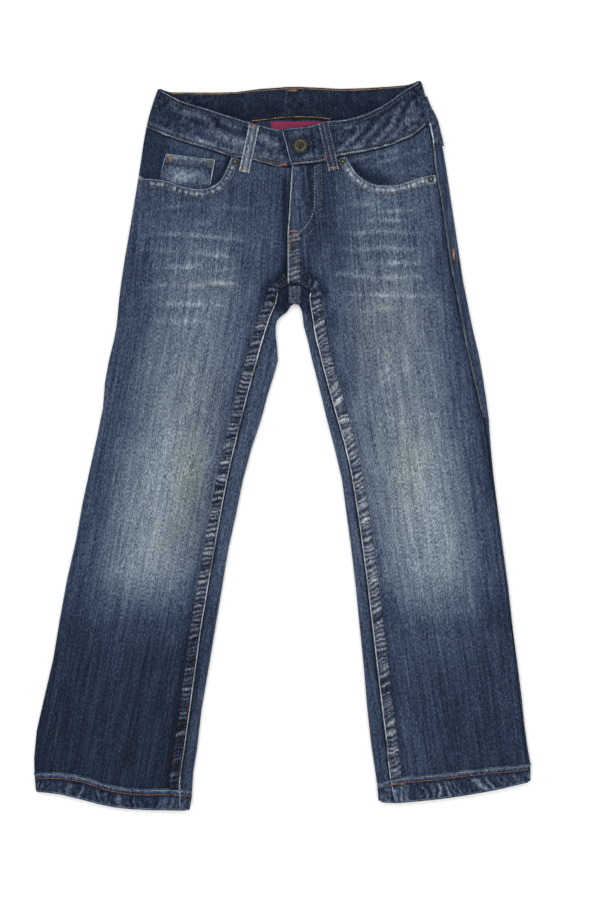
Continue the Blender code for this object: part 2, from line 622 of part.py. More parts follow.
FACING_SHARE = [0.0, 0.09, 0.2, 0.32, 0.44, 0.56, 0.68, 0.8, 0.9, 1.0]
rows = []
for share in (0.0, 0.2, 0.4, 0.6, 0.8, 1.0):
    line = []
    v_out = 127.2 + (176.5 - 127.2) * share
    outer = lookup(LEFT_OUT, v_out)
    line.append((lookup(LEFT_UNDER, v_out), v_out, FLOOR_MID))
    line += arc_places(outer, v_out, -1, 0, FLOOR_MID, FOLD_TOP, CLOTH / 2, (-90, -40, 0, 40))
    start = outer + (CLOTH / 2 + FOLD_REACH) / STEP
    for part in FACING_SHARE:
        u = start + (238 - start) * part
        upper_v = lookup(WAIST_LEFT, u) + 0.3
        tuck = 10 * smooth((u - 146) / 12)
        lower_v = lookup(MOUTH_LEFT, u) - 1.2 + tuck if u < 221 else 189.5 - (u - 221) * 0.8
        v = upper_v + (lower_v - upper_v) * share
        line.append((u, v, facing_height(u, v, WAIST_LEFT, MOUTH_LEFT)))
    rows.append(line)
sheet("facing_left", rows, CLOTH, DENIM)

rows = []
for share in (0.0, 0.2, 0.4, 0.6, 0.8, 1.0):
    line = []
    for part in spread(0, 1, 11):
        u = 336 + (435 - 336) * part
        for again in range(3):
            upper_v = lookup(WAIST_RIGHT, u) + 0.4
            lower_v = lookup(MOUTH_RIGHT, u) + 10 if u > 352 else 176 + (u - 336) * 0.3
            lower_v -= 11 * smooth((u - 424) / 8)
            v = upper_v + (lower_v - upper_v) * share
            u = 336 + (lookup(RIGHT_SIDE, v) - 0.4 - 336) * part
        line.append((u, v, facing_height(u, v, WAIST_RIGHT, MOUTH_RIGHT)))
    rows.append(line)
sheet("facing_right", rows, CLOTH, DENIM)


def ribbon(name, line, sides, height, thick, colour, wave=None):
    """A strip on a surface. line is places u, v, sides are offsets to its left in steps."""
    rows = []
    count = len(line)
    for offset in sides:
        row = []
        for i in range(count):
            u0, v0 = line[max(i - 1, 0)]
            u1, v1 = line[min(i + 1, count - 1)]
            length = math.hypot(u1 - u0, v1 - v0)
            nu = (v1 - v0) / length
            nv = -(u1 - u0) / length
            u = line[i][0] + nu * offset
            v = line[i][1] + nv * offset
            extra = wave(i, offset) if wave else 0.0
            row.append((u, v, height(u, v) + extra))
        rows.append(row)
    return sheet(name, rows, thick, colour)


def on_top(lift):
    return lambda u, v: top_height(u, v) + lift


def resample(line, count):
    total = [0.0]
    for (u0, v0), (u1, v1) in zip(line, line[1:]):
        total.append(total[-1] + math.hypot(u1 - u0, v1 - v0))
    made = []
    for want in spread(0, total[-1], count):
        i = 0
        while i < len(line) - 2 and total[i + 1] < want:
            i += 1
        t = (want - total[i]) / (total[i + 1] - total[i])
        made.append((line[i][0] + (line[i + 1][0] - line[i][0]) * t,
                     line[i][1] + (line[i + 1][1] - line[i][1]) * t))
    return made


ON_CLOTH = CLOTH / 2 + GAP + TRIM / 2 + 0.06
MOUTH_SIDES = (-9.2, -6.3, -3.3, -0.4)
mouth = [(u, v + 0.6) for u, v in MOUTH_LEFT[2:14]] + [(231.5, 156.9)]
ribbon("mouth_band_left", resample(mouth, 20), MOUTH_SIDES, on_top(ON_CLOTH), TRIM, DENIM_PALE)
mouth = [(346.3, 156.4)] + [(u, v + 0.6) for u, v in MOUTH_RIGHT[1:12]] + [(427, 176), (435.2, 174.8)]
ribbon("mouth_band_right", resample(mouth, 20), MOUTH_SIDES, on_top(ON_CLOTH), TRIM, DENIM_PALE)

# Coin pocket on the left facing
rows = []
for share in (0, 0.34, 0.67, 1):
    row = []
    for part in spread(0, 1, 7):
        top_u = 167 + 48 * part
        top_v = 154 + 6 * part
        low_u = 160.4 + 50 * part
        low_v = lookup(MOUTH_LEFT, low_u) + 3
        u = top_u + (low_u - top_u) * share
        v = top_v + (low_v - top_v) * share
        row.append((u, v, facing_height(u, v, WAIST_LEFT, MOUTH_LEFT) + 1.56))
    rows.append(row)
sheet("coin_pocket", rows, CLOTH, DENIM)


# Felled seams, with their puckers
def puckers(size):
    def wave(i, offset):
        return size * (0.5 + 0.5 * math.cos(math.pi * i)) * (0.75 + 0.25 * math.sin(i * 1.7))
    return wave


seam = [(277.2, 296), (276, 303), (273, 310), (268, 322), (263.2, 337), (258.3, 354)]
seam += [(u, v) for v, u in LEFT_SEAM[:-2]]
seam += [(181.4, 772), (179.6, 787)]
ribbon("inseam_fell_left", resample(seam, 93), (-10.2, -5.5, -0.9), on_top(ON_CLOTH + 0.05), TRIM,
       DENIM_DARK, puckers(0.5))
seam = [(309.9, 296), (310, 303), (311, 310), (313, 322), (315.9, 337), (319.8, 354)]
seam += [(u, v) for v, u in RIGHT_SEAM[:-3]]
seam += [(386, 740), (391, 777)]
ribbon("inseam_fell_right", resample(seam, 93), (0.9, 6, 11), on_top(ON_CLOTH + 0.05), TRIM,
       DENIM_DARK, puckers(0.5))
ribbon("rise_fell_front", [(294.8, v) for v in spread(234, 281.5, 14)], (-5.8, 0, 5.4),
       lambda u, v: fly_height(u, v) + ON_CLOTH, TRIM, DENIM_DARK, puckers(0.3))
ribbon("rise_fell_back", [(294.5, v) for v in spread(286.4, 300, 6)], (-5.6, -2.4, 2.4, 5.6),
       on_top(ON_CLOTH + 0.1), TRIM, DENIM_DARK)


# Hems, turned up rings
def hem_ring(name, table, left, right, phase):
    rows = []
    for share in (0, 0.33, 0.67, 1):
        row = []
        first = table[0]
        last = table[-1]
        v_left = first[1] + (first[2] - first[1]) * share
        v_right = last[1] + (last[2] - last[1]) * share
        u_left = lookup(left, v_left)
        u_right = lookup(right, v_right)
        turn = (70, 30, 0, -30, -70)
        top_line = []
        for part in spread(0.035, 0.965, 31):
            u = u_left + (u_right - u_left) * part
            lows = lookup([(r[0], r[2]) for r in table], u)
            tops = lookup([(r[0], r[1]) for r in table], u)
            v = tops + (lows - tops) * share
            side = min(u - u_left, u_right - u) * STEP
            wave = 0.45 * math.sin(part * 2 * math.pi * 14 + phase + share * 1.8) * smooth((side - 4) / 9)
            height = 4.35 + 1.05 * math.exp(-((side / 12) ** 2)) + wave
            top_line.append((u, v, height))
        for p in top_line:
            row.append(p)
        row += arc_places(u_right, v_right, 1, 0, BAND / 2, BAND_FOLD_TOP, BAND / 2, turn)
        for u, v, height in reversed(top_line[::3]):
            row.append((u, v, BAND / 2))
        row += arc_places(u_left, v_left, -1, 0, BAND / 2, BAND_FOLD_TOP, BAND / 2, tuple(reversed(turn)))
        rows.append(row)
    return sheet(name, rows, BAND, DENIM_DARK, closed=True)


hem_ring("hem_left", HEM_LEFT, LEFT_OUT, LEFT_IN, 0.4)
hem_ring("hem_right", HEM_RIGHT, RIGHT_IN, RIGHT_OUT, 1.9)


# Belt loops
def loop_height(v_edge):
    def height(u, v):
        high = max(band_height(u + a, v) for a in (-4, 0, 4)) + BAND / 2
        low = max(top_height(u, v), fly_height(u, v)) + CLOTH / 2
        return high + (low - high) * smooth((v - v_edge - 3) / 9) + GAP + CLOTH / 2 + 0.15
    return height


def loop(name, top, low, edge):
    line = [(top[0] + (low[0] - top[0]) * t, top[1] + (low[1] - top[1]) * t) for t in spread(0, 1, 14)]
    ribbon(name, line, (-5.2, -1.8, 1.8, 5.2), loop_height(edge), CLOTH, DENIM_PALE)


loop("loop_front_left", (254.3, 125.5), (244, 172.5), 159.6)
loop("loop_front_right", (323.2, 122.8), (334, 171), 158.6)


def side_loop():
    """The right side loop bends round the fold over band and yoke."""
    rows = []
    for share in spread(0, 1, 9):
        v = 97 + (146 - 97) * share
        on_band = 1 - smooth((v - 119.6) / 5)
        fold = lookup(BAND_OUT_RIGHT, v) if v < 118 else lookup(RIGHT_OUT, v)
        half = (BAND * on_band + CLOTH * (1 - on_band)) / 2
        high = BAND_FOLD_TOP * on_band + FOLD_TOP * (1 - on_band)
        low = BAND / 2 * on_band + FLOOR_MID * (1 - on_band)
        out = half + GAP + CLOTH / 2 + 0.45
        row = []
        for angle in (90, 60, 30, 5):
            turn = math.radians(angle)
            middle = (low + high) / 2
            centre = fold - (half + FOLD_REACH) / STEP
            u = centre + (FOLD_REACH + out) * math.cos(turn) / STEP
            row.append((u, v, middle + (high - middle + out) * math.sin(turn)))
        first = row[0]
        row.insert(0, (first[0] - 5.2, v, first[2] + 0.05))
        rows.append(row)
    sheet("loop_side_right", rows, CLOTH, DENIM_DARK)


side_loop()


# The hidden loops lie flat on the floor, the band steps over them
for name, u, first, last in (("loop_back", 292.5, 88.2, 115.9), ("loop_side_left", 196, 94, 123.4)):
    ribbon(name, [(u, v) for v in spread(first, last, 4)], (-5.2, 0, 5.2), lambda u, v: CLOTH / 2, CLOTH,
           DENIM_DARK)


# Back pockets lie flat on the floor
def back_pocket(name, outline):
    rows = []
    left_top, right_top, right_low, tip, left_low = outline
    for share in spread(0, 1, 6):
        row = []
        for part in spread(0, 1, 7):
            top_u = left_top[0] + (right_top[0] - left_top[0]) * part
            top_v = left_top[1] + (right_top[1] - left_top[1]) * part
            if part < 0.5:
                low_u = left_low[0] + (tip[0] - left_low[0]) * part * 2
                low_v = left_low[1] + (tip[1] - left_low[1]) * part * 2
            else:
                low_u = tip[0] + (right_low[0] - tip[0]) * (part * 2 - 1)
                low_v = tip[1] + (right_low[1] - tip[1]) * (part * 2 - 1)
            row.append((top_u + (low_u - top_u) * share, top_v + (low_v - top_v) * share, CLOTH / 2))
        rows.append(row)
    sheet(name, rows, CLOTH, DENIM)


back_pocket("back_pocket_left", POCKET_LEFT)
back_pocket("back_pocket_right", POCKET_RIGHT)

# Label, sewn at the lower edge of the back band inside, left bare
ribbon("label", [(u, 122) for u in spread(271, 320, 6)], (-14, -9, -4, 0.6), lambda u, v: CLOTH + GAP + 0.35,
       0.5, PINK)


# Hard pieces
def lathe(name, u, v, base, profile, sides, colour):
    """A turned piece. profile is radius, height from the base up, both mm."""
    bm = bmesh.new()
    rings = []
    for radius, height in profile:
        if radius == 0:
            rings.append([bm.verts.new(place(u, v, base + height))])
            continue
        ring = []
        for i in range(sides):
            turn = 2 * math.pi * i / sides
            ring.append(bm.verts.new(place(u + radius * math.cos(turn) / STEP, v + radius * math.sin(turn) / STEP,
                                           base + height)))
        rings.append(ring)
    for a, b in zip(rings, rings[1:]):
        for i in range(sides):
            k = (i + 1) % sides
            if len(a) == 1:
                bm.faces.new((a[0], b[i], b[k]))
            elif len(b) == 1:
                bm.faces.new((a[i], a[k], b[0]))
            else:
                bm.faces.new((a[i], a[k], b[k], b[i]))
    return add_object(name, bm, colour, 0.4, 0.9)


BUTTON = [(0, 0), (3.4, 0), (3.4, 0.6), (BUTTON_RADIUS - 0.5, 0.7), (BUTTON_RADIUS, 1.3),
          (BUTTON_RADIUS - 0.3, 2.0), (BUTTON_RADIUS - 1.6, 2.3), (BUTTON_RADIUS - 2.2, 1.95), (3.0, 1.9),
          (1.8, 2.3), (0, 2.4)]
lathe("button", 300.2, 146.2, 6.9 + BAND / 2 + GAP, BUTTON, 24, BRONZE)
RIVET = [(0, 0), (RIVET_RADIUS, 0), (RIVET_RADIUS - 0.1, 0.4), (RIVET_RADIUS - 0.9, 0.8), (1.2, 0.75), (0.9, 1.3), (0, 1.5)]
for number, (u, v) in enumerate([(235.2, 162.2), (342.6, 162), (430.6, 179.4)], 1):
    under = max(top_height(u + a, v + b) for a in (-2.5, 0, 2.5) for b in (-2.5, 0, 2.5))
    lathe(f"rivet_{number}", u, v, under + ON_CLOTH + TRIM / 2 + GAP, RIVET, 12, BRONZE)
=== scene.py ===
# %% [markdown]
# # A child's jeans, laid flat
# The jeans lie on a pale floor with the front side up, and the camera looks straight down on them.
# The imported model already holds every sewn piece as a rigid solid, so this lesson dresses those pieces:
# finer cloth, faded denim, seams with their puckers, thread, rivets and the button.
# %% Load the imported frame
import math

import bmesh
import bpy
import numpy as np
from mathutils import Matrix, Vector, noise
from mathutils.bvhtree import BVHTree


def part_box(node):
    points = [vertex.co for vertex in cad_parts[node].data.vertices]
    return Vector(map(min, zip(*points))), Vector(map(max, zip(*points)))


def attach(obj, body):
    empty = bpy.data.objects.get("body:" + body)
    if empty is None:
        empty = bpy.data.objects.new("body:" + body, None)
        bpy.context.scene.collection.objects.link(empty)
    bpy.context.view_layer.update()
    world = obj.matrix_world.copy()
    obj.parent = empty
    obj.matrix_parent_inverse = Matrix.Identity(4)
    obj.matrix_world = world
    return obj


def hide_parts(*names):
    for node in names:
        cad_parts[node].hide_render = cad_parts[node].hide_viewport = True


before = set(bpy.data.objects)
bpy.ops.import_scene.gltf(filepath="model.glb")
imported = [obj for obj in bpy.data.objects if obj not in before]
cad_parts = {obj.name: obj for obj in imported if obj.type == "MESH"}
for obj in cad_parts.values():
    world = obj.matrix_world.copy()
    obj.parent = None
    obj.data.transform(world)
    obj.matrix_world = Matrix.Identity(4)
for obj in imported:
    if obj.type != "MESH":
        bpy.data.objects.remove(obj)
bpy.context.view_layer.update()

# %% [markdown]
# ## One measuring grid
# The solids were drawn on a grid of 1.03 mm steps, u across and v down. The looks use the same grid, so
# a row of stitches and the seam it holds are written with the same numbers.
# %% The measuring grid
STEP = 1.03
MID_U = 282.288
MID_V = 445.561
BETWEEN_LEGS = 294


def place(u, v, z=0.0):
    """A grid place and a height in mm, as a point in metres."""
    return Vector(((u - MID_U) * STEP / 1000, (MID_V - v) * STEP / 1000, z / 1000))


def grid_of(co):
    return co[0] * 1000 / STEP + MID_U, MID_V - co[1] * 1000 / STEP


def reading(table, key):
    """Straight reading between the rows of a two column table."""
    return float(np.interp(key, [row[0] for row in table], [row[1] for row in table]))


def uneven_at(a, b, c):
    """A smooth random value, about -0.5 to 0.5, that is always the same at the same numbers."""
    return noise.noise(Vector((a, b, c)))


def soft(t):
    t = min(1.0, max(0.0, t))
    return t * t * (3 - 2 * t)


def near(u, v, line):
    """Distance in steps from a place to a line of places."""
    best = 1e9
    for (u0, v0), (u1, v1) in zip(line, line[1:]):
        du, dv = u1 - u0, v1 - v0
        t = min(1.0, max(0.0, ((u - u0) * du + (v - v0) * dv) / (du * du + dv * dv)))
        best = min(best, math.hypot(u - u0 - t * du, v - v0 - t * dv))
    return best


def hump(value, middle, wide):
    """1 at the middle, falling away softly on both sides."""
    return math.exp(-((value - middle) / wide) ** 2)


def beside(u, v, line, wide):
    """1 on a line of places, falling away softly on both sides."""
    return hump(near(u, v, line), 0, wide)


def run_line(points, spacing):
    """A smooth line through the points, cut in steps of even length."""
    pts = np.array(points, float)
    ends = np.vstack([2 * pts[0] - pts[1], pts, 2 * pts[-1] - pts[-2]])
    fine = []
    for a, b, c, d in zip(ends, ends[1:], ends[2:], ends[3:]):
        for t in np.linspace(0, 1, 12, endpoint=False):
            fine.append(0.5 * (2 * b + (c - a) * t + (2 * a - 5 * b + 4 * c - d) * t * t
                               + (3 * b - a - 3 * c + d) * t ** 3))
    fine.append(pts[-1])
    fine = np.array(fine)
    along = np.r_[0, np.cumsum(np.hypot(*np.diff(fine, axis=0).T))]
    count = max(2, int(round(along[-1] * STEP / spacing)) + 1)
    want = np.linspace(0, along[-1], count)
    return [(float(u), float(v)) for u, v in zip(np.interp(want, along, fine[:, 0]),
                                                 np.interp(want, along, fine[:, 1]))]


print("100 steps are", round(100 * STEP, 1), "mm")

# %% [markdown]
# ## Where the dye has gone
# Worn denim is one blue seen at many strengths. Each point of cloth gets a lightness from 0 to 255, and
# the material turns that into a blue. The legs have a broad pale area from thigh to knee, dark sides and
# dark lower legs, and pale streaks where the thighs crease when the wearer sits. A painted image could hold
# all this, but a few short tables are easier to read and to change.
# %% Lightness of the legs
CENTRE_LEFT = [(90, 212), (200, 205), (300, 196), (330, 191), (780, 107.5), (820, 100)]
CENTRE_RIGHT = [(90, 370), (200, 383), (300, 391), (330, 393), (784, 460), (820, 465)]
SIDE_LIGHT = [(90, 60), (180, 68), (240, 72), (330, 76), (480, 78), (575, 76), (600, 67), (630, 56),
              (680, 52), (800, 48)]
FADE_LEFT = [(150, 4), (200, 6), (220, 10), (240, 19), (260, 24), (300, 34), (330, 36), (360, 41), (390, 41),
             (420, 48), (450, 56), (480, 54), (510, 60), (540, 56), (570, 50), (588, 36), (603, 22), (622, 8),
             (650, 3), (700, 0)]
FADE_RIGHT = [(150, 10), (200, 25), (220, 20), (240, 14), (260, 20), (300, 40), (330, 36), (360, 44),
              (390, 44), (420, 50), (450, 56), (480, 56), (510, 66), (540, 62), (570, 54), (590, 42),
              (605, 30), (630, 15), (660, 9), (700, 5), (760, 2)]
# Pale streaks of the thighs: u0, v0, u1, v1, strength
STREAKS = [(215, 206, 252, 210, 16), (150, 208, 205, 206, 9), (190, 224, 213, 223, 22),
           (140, 236, 186, 233, 20), (184, 234, 248, 240, 30), (138, 249, 190, 252, 20),
           (188, 252, 236, 257, 28), (138, 268, 202, 266, 26), (205, 270, 244, 268, 12),
           (190, 286, 238, 283, 34), (136, 288, 180, 285, 14), (156, 303, 228, 306, 26),
           (150, 320, 214, 322, 16), (340, 205, 382, 204, 15), (374, 212, 424, 211, 18),
           (360, 220, 412, 221, 20), (340, 233, 426, 232, 22), (334, 249, 426, 249, 24),
           (358, 264, 434, 262, 22), (333, 273, 376, 278, 24), (370, 278, 428, 277, 22),
           (344, 295, 436, 296, 25), (342, 311, 412, 309, 13)]


def leg_centre(u, v):
    """Whether a place is on the left leg, and the middle of its leg at that height."""
    left = u < (292 if v < 300 else 295)
    return left, reading(CENTRE_LEFT if left else CENTRE_RIGHT, v)


def leg_light(u, v):
    left, centre = leg_centre(u, v)
    away = u - centre
    light = reading(SIDE_LIGHT, v)
    light += reading(FADE_LEFT if left else FADE_RIGHT, v) * math.exp(-(abs(away - 2) / 45) ** 2.4)
    if not left:
        light += 13 * soft(-away / 50) * soft((v - 590) / 50)
        light += 18 * soft((-away - 34) / 22) * soft((v - 380) / 40) * soft((625 - v) / 30)
        light -= 12 * soft((away - 36) / 22) * soft((v - 225) / 40) * soft((640 - v) / 30)
        light -= 14 * hump(u, 326, 16) * hump(v, 205, 50)
    else:
        light -= 12 * soft((-away - 38) / 22) * soft((v - 225) / 40)
        light -= (8 - 8 * soft((-away - 40) / 20)) * soft((v - 620) / 40)
    if 190 < v < 325:
        for u0, v0, u1, v1, strength in STREAKS:
            t = (u - u0) / (u1 - u0)
            if 0 < t < 1:
                middle = v0 + (v1 - v0) * t + 2.4 * uneven_at(u * 0.035, v0, 2.0)
                apart = v - middle
                power = strength * math.sin(math.pi * t) ** 0.7
                power *= max(0.0, 0.95 + 1.0 * uneven_at(u * 0.06, v0 * 1.7, 5.0))
                light += power * hump(apart, 0, 1.9) + 0.35 * power * hump(apart, 0, 5)
                light -= 0.3 * power * hump(apart, 4.6, 2.2)
    return light


# Places where the worn denim has a faint straw tone: u, v, half width, half height, strength
STRAW = [(191, 478, 17, 46, 0.62), (176, 540, 24, 30, 0.25), (410, 462, 20, 48, 0.4), (214, 285, 26, 6, 0.35),
         (385, 330, 34, 50, 0.28), (200, 400, 30, 40, 0.2)]


def warmth(u, v):
    return min(1.0, sum(strength * math.exp(-((u - u0) / wide) ** 2 - ((v - v0) / high) ** 2)
                        for u0, v0, wide, high, strength in STRAW))


print("lightness at the left knee", round(leg_light(170, 520)), "and shin", round(leg_light(110, 700)))

# %% [markdown]
# ## The denim
# Denim is a twill: blue threads run down the leg and white ones across. Up close it reads as fine streaks
# along the leg, longer ropy streaks, soft clouds from the wash, and mottled spots where it is rubbed. Four
# noise patterns of different length give those, in coordinates that follow the leg, and a colour ramp turns
# their sum into the worn blues. That way no picture of cloth is needed.
# %% Denim material
LIGHT_TO_COLOUR = [(0, (4, 7, 15)), (30, (17, 26, 44)), (57, (39, 52, 74)), (81, (63, 77, 101)),
                   (110, (96, 109, 126)), (143, (129, 144, 155)), (190, (178, 190, 202)),
                   (255, (228, 237, 250))]
LIGHT_MARGIN = 0.76  # colours are held down to this share, because lamp and sky together are very bright


def linear(colour):
    """A screen colour from 0 to 255 as the light that the shader wants."""
    lit = [c / 255 / 12.92 if c / 255 <= 0.04045 else ((c / 255 + 0.055) / 1.055) ** 2.4 for c in colour]
    return tuple(share * LIGHT_MARGIN for share in lit) + (1.0,)


def joined(tree, kind, **values):
    node = tree.nodes.new(kind)
    for key, value in values.items():
        setattr(node, key, value)
    return node


def sum_of(tree, first, second, operation="ADD", third=None):
    node = joined(tree, "ShaderNodeMath", operation=operation)
    for socket, value in zip(node.inputs, (first, second, third)):
        if value is None:
            continue
        if isinstance(value, (int, float)):
            socket.default_value = value
        else:
            tree.links.new(value, socket)
    return node.outputs[0]


def pattern(tree, vector, scale, detail, rough=0.5):
    mapping = joined(tree, "ShaderNodeMapping")
    mapping.inputs["Scale"].default_value = scale
    tree.links.new(vector, mapping.inputs["Vector"])
    made = joined(tree, "ShaderNodeTexNoise")
    made.inputs["Scale"].default_value = 1.0
    made.inputs["Detail"].default_value = detail
    made.inputs["Roughness"].default_value = rough
    tree.links.new(mapping.outputs[0], made.inputs["Vector"])
    return sum_of(tree, made.outputs["Fac"], 0.5, "SUBTRACT")


def new_material(name):
    made = bpy.data.materials.new(name)
    made.use_nodes = True
    return made, made.node_tree, made.node_tree.nodes["Principled BSDF"]


def two_tone(tree, shader, level, dark, light):
    """Colours the shader between two colours, by a level from 0 to 1."""
    ramp = joined(tree, "ShaderNodeValToRGB")
    ramp.color_ramp.elements[0].color = linear(dark)
    ramp.color_ramp.elements[1].color = linear(light)
    tree.links.new(level, ramp.inputs["Fac"])
    tree.links.new(ramp.outputs["Color"], shader.inputs["Base Color"])


def denim(name, fine=(1.15, 0.22), ropy=(0.12, 0.21), blotch=0.3, mottle=110.0,
          worn_tint=(1.12, 1.02, 0.76, 1)):
    """fine and ropy are each the strength that grows with the lightness, and the strength everywhere."""
    made, tree, shader = new_material(name)
    grain = joined(tree, "ShaderNodeAttribute", attribute_name="grain")
    light = joined(tree, "ShaderNodeAttribute", attribute_name="light")
    patchy = joined(tree, "ShaderNodeAttribute", attribute_name="patchy")
    vector = grain.outputs["Vector"]
    fibre = pattern(tree, vector, (1.35, 0.4, 1.35), 1.0, 0.5)
    rope = pattern(tree, vector, (0.45, 0.017, 0.45), 1.0)
    cloud = pattern(tree, vector, (0.07, 0.035, 0.07), 2.0)
    blot = pattern(tree, vector, (0.36, 0.24, 0.36), 3.0, 0.65)
    part = sum_of(tree, fibre, fine[0], "MULTIPLY")
    part = sum_of(tree, rope, ropy[0], "MULTIPLY_ADD", part)
    part = sum_of(tree, cloud, blotch, "MULTIPLY_ADD", part)
    part = sum_of(tree, part, 1.0)
    level = sum_of(tree, light.outputs["Fac"], part, "MULTIPLY")
    level = sum_of(tree, fibre, fine[1], "MULTIPLY_ADD", level)
    level = sum_of(tree, rope, ropy[1], "MULTIPLY_ADD", level)
    spots = sum_of(tree, blot, mottle / 255, "MULTIPLY")
    level = sum_of(tree, spots, patchy.outputs["Fac"], "MULTIPLY_ADD", level)
    ramp = joined(tree, "ShaderNodeValToRGB")
    ramp.color_ramp.elements[0].position = 0.0
    ramp.color_ramp.elements[1].position = 1.0
    for at, colour in LIGHT_TO_COLOUR[1:-1]:
        ramp.color_ramp.elements.new(at / 255)
    for element, (at, colour) in zip(ramp.color_ramp.elements, LIGHT_TO_COLOUR):
        element.color = linear(colour)
    tree.links.new(level, ramp.inputs["Fac"])
    warm = joined(tree, "ShaderNodeAttribute", attribute_name="warm")
    tint = joined(tree, "ShaderNodeMix", data_type="RGBA", blend_type="MULTIPLY")
    tint.inputs["B"].default_value = worn_tint
    tree.links.new(warm.outputs["Fac"], tint.inputs["Factor"])
    tree.links.new(ramp.outputs["Color"], tint.inputs["A"])
    tree.links.new(tint.outputs["Result"], shader.inputs["Base Color"])
    twill = joined(tree, "ShaderNodeTexWave", wave_type="BANDS", bands_direction="DIAGONAL")
    twill.inputs["Scale"].default_value = 1.0
    twill.inputs["Distortion"].default_value = 1.5
    turned = joined(tree, "ShaderNodeMapping")
    turned.inputs["Scale"].default_value = (0.55, 0.3, 0.55)
    tree.links.new(vector, turned.inputs["Vector"])
    tree.links.new(turned.outputs[0], twill.inputs["Vector"])
    relief = sum_of(tree, twill.outputs["Fac"], 0.35, "MULTIPLY_ADD", fibre)
    bump = joined(tree, "ShaderNodeBump")
    bump.inputs["Strength"].default_value = 0.5
    bump.inputs["Distance"].default_value = 0.00035
    tree.links.new(relief, bump.inputs["Height"])
    tree.links.new(bump.outputs["Normal"], shader.inputs["Normal"])
    shader.inputs["Roughness"].default_value = 0.88
    shader.inputs["Specular IOR Level"].default_value = 0.1
    shader.inputs["Sheen Weight"].default_value = 0.06
    shader.inputs["Sheen Roughness"].default_value = 0.5
    return made


denim_cloth = denim("washed_denim")
denim_trim = denim("worn_denim_trim", (1.4, 0.12), (0.35, 0.07), 0.4, 220.0, (1.19, 0.99, 0.84, 1))
print("materials", denim_cloth.name, denim_trim.name)

# %% [markdown]
# ## From solid to cloth
# Each solid is the right shape but coarse. A copy is merged, its long edges are split until the cells are
# a few millimetres, and its heights are eased, so it bends like cloth. Then every corner gets its grain
# place, which follows the leg, and its lightness.
# %% Cloth from a solid
def grain_place(u, v, z):
    left, centre = leg_centre(u, v)
    return ((u - centre) * STEP + (0 if left else 400), -v * STEP, z)


# Soft folds of the legs: a line of places, its half width in steps and its height in mm
FOLDS = [([(277, 297), (262, 279), (246, 262)], 6, -0.7), ([(272, 310), (250, 296), (232, 290)], 5, 0.5),
         ([(268, 322), (244, 312)], 6, -0.5), ([(311, 297), (326, 280), (340, 262)], 6, -0.7),
         ([(314, 311), (334, 300), (352, 296)], 5, 0.5), ([(318, 326), (340, 318)], 6, -0.5),
         ([(280, 176), (281, 215), (280, 262)], 5, -0.5), ([(329, 176), (331, 214), (322, 244)], 6, -0.4),
         ([(132, 300), (120, 360), (106, 430)], 9, 0.5), ([(150, 210), (143, 262), (140, 318)], 7, -0.4),
         ([(440, 300), (452, 380), (470, 450)], 9, 0.5), ([(236, 398), (205, 420), (160, 428)], 8, -0.5),
         ([(226, 452), (196, 470), (150, 474)], 9, 0.5), ([(334, 402), (366, 424), (410, 430)], 8, -0.5),
         ([(350, 456), (384, 474), (430, 476)], 9, 0.5), ([(206, 604), (170, 622), (120, 626)], 9, -0.5),
         ([(374, 606), (410, 626), (470, 628)], 9, -0.5), ([(70, 640), (58, 700), (52, 758)], 8, 0.5),
         ([(150, 660), (138, 720), (130, 770)], 7, -0.4), ([(500, 640), (508, 700), (514, 752)], 8, 0.5),
         ([(430, 656), (442, 716), (448, 764)], 7, -0.4), ([(238, 186), (246, 236), (240, 282)], 8, -0.4),
         ([(350, 204), (344, 250), (350, 296)], 8, -0.4)]


def fold_at(u, v):
    """Height in mm that the soft folds add at a place."""
    total = 0.0
    for line, wide, high in FOLDS:
        if abs(u - line[1][0]) < 75 and abs(v - line[1][1]) < 95:
            total += high * beside(u, v, line, wide)
    return total


def ripple(u, v, z):
    """Small soft lumps and folds that all of the top layer shares, in mm."""
    lump = uneven_at(u * 0.045, v * 0.03, 3.0) + 0.5 * uneven_at(u * 0.11, v * 0.07, 9.0)
    return (0.28 * max(-0.3, lump + 0.35) + fold_at(u, v)) * soft((z - 2.2) / 1.2)


def as_piece(name, bm, smooth=True):
    """The bmesh as an object at the origin."""
    mesh = bpy.data.meshes.new(name)
    bm.to_mesh(mesh)
    bm.free()
    for polygon in mesh.polygons:
        polygon.use_smooth = smooth
    made = bpy.data.objects.new(name, mesh)
    bpy.context.scene.collection.objects.link(made)
    return made


def cloth_copy(node, cell, ease=3, lumps=True):
    bm = bmesh.new()
    bm.from_mesh(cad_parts[node].data)
    bmesh.ops.remove_doubles(bm, verts=bm.verts[:], dist=1e-6)
    for turn in range(7):
        long = [e for e in bm.edges if e.calc_length() > cell * 1.45]
        if not long:
            break
        bmesh.ops.subdivide_edges(bm, edges=long, cuts=1)
        bmesh.ops.triangulate(bm, faces=[f for f in bm.faces if len(f.verts) > 3])
    calm = [v for v in bm.verts if all(len(e.link_faces) == 2 and e.calc_face_angle(0) < 0.7
                                       for e in v.link_edges)]
    for turn in range(ease):
        bmesh.ops.smooth_vert(bm, verts=calm, factor=0.5, use_axis_x=False, use_axis_y=False, use_axis_z=True)
    if lumps:
        for v in bm.verts:
            a, b = grid_of(v.co)
            v.co.z += ripple(a, b, v.co.z * 1000) / 1000
    return as_piece(node + "_cloth", bm)


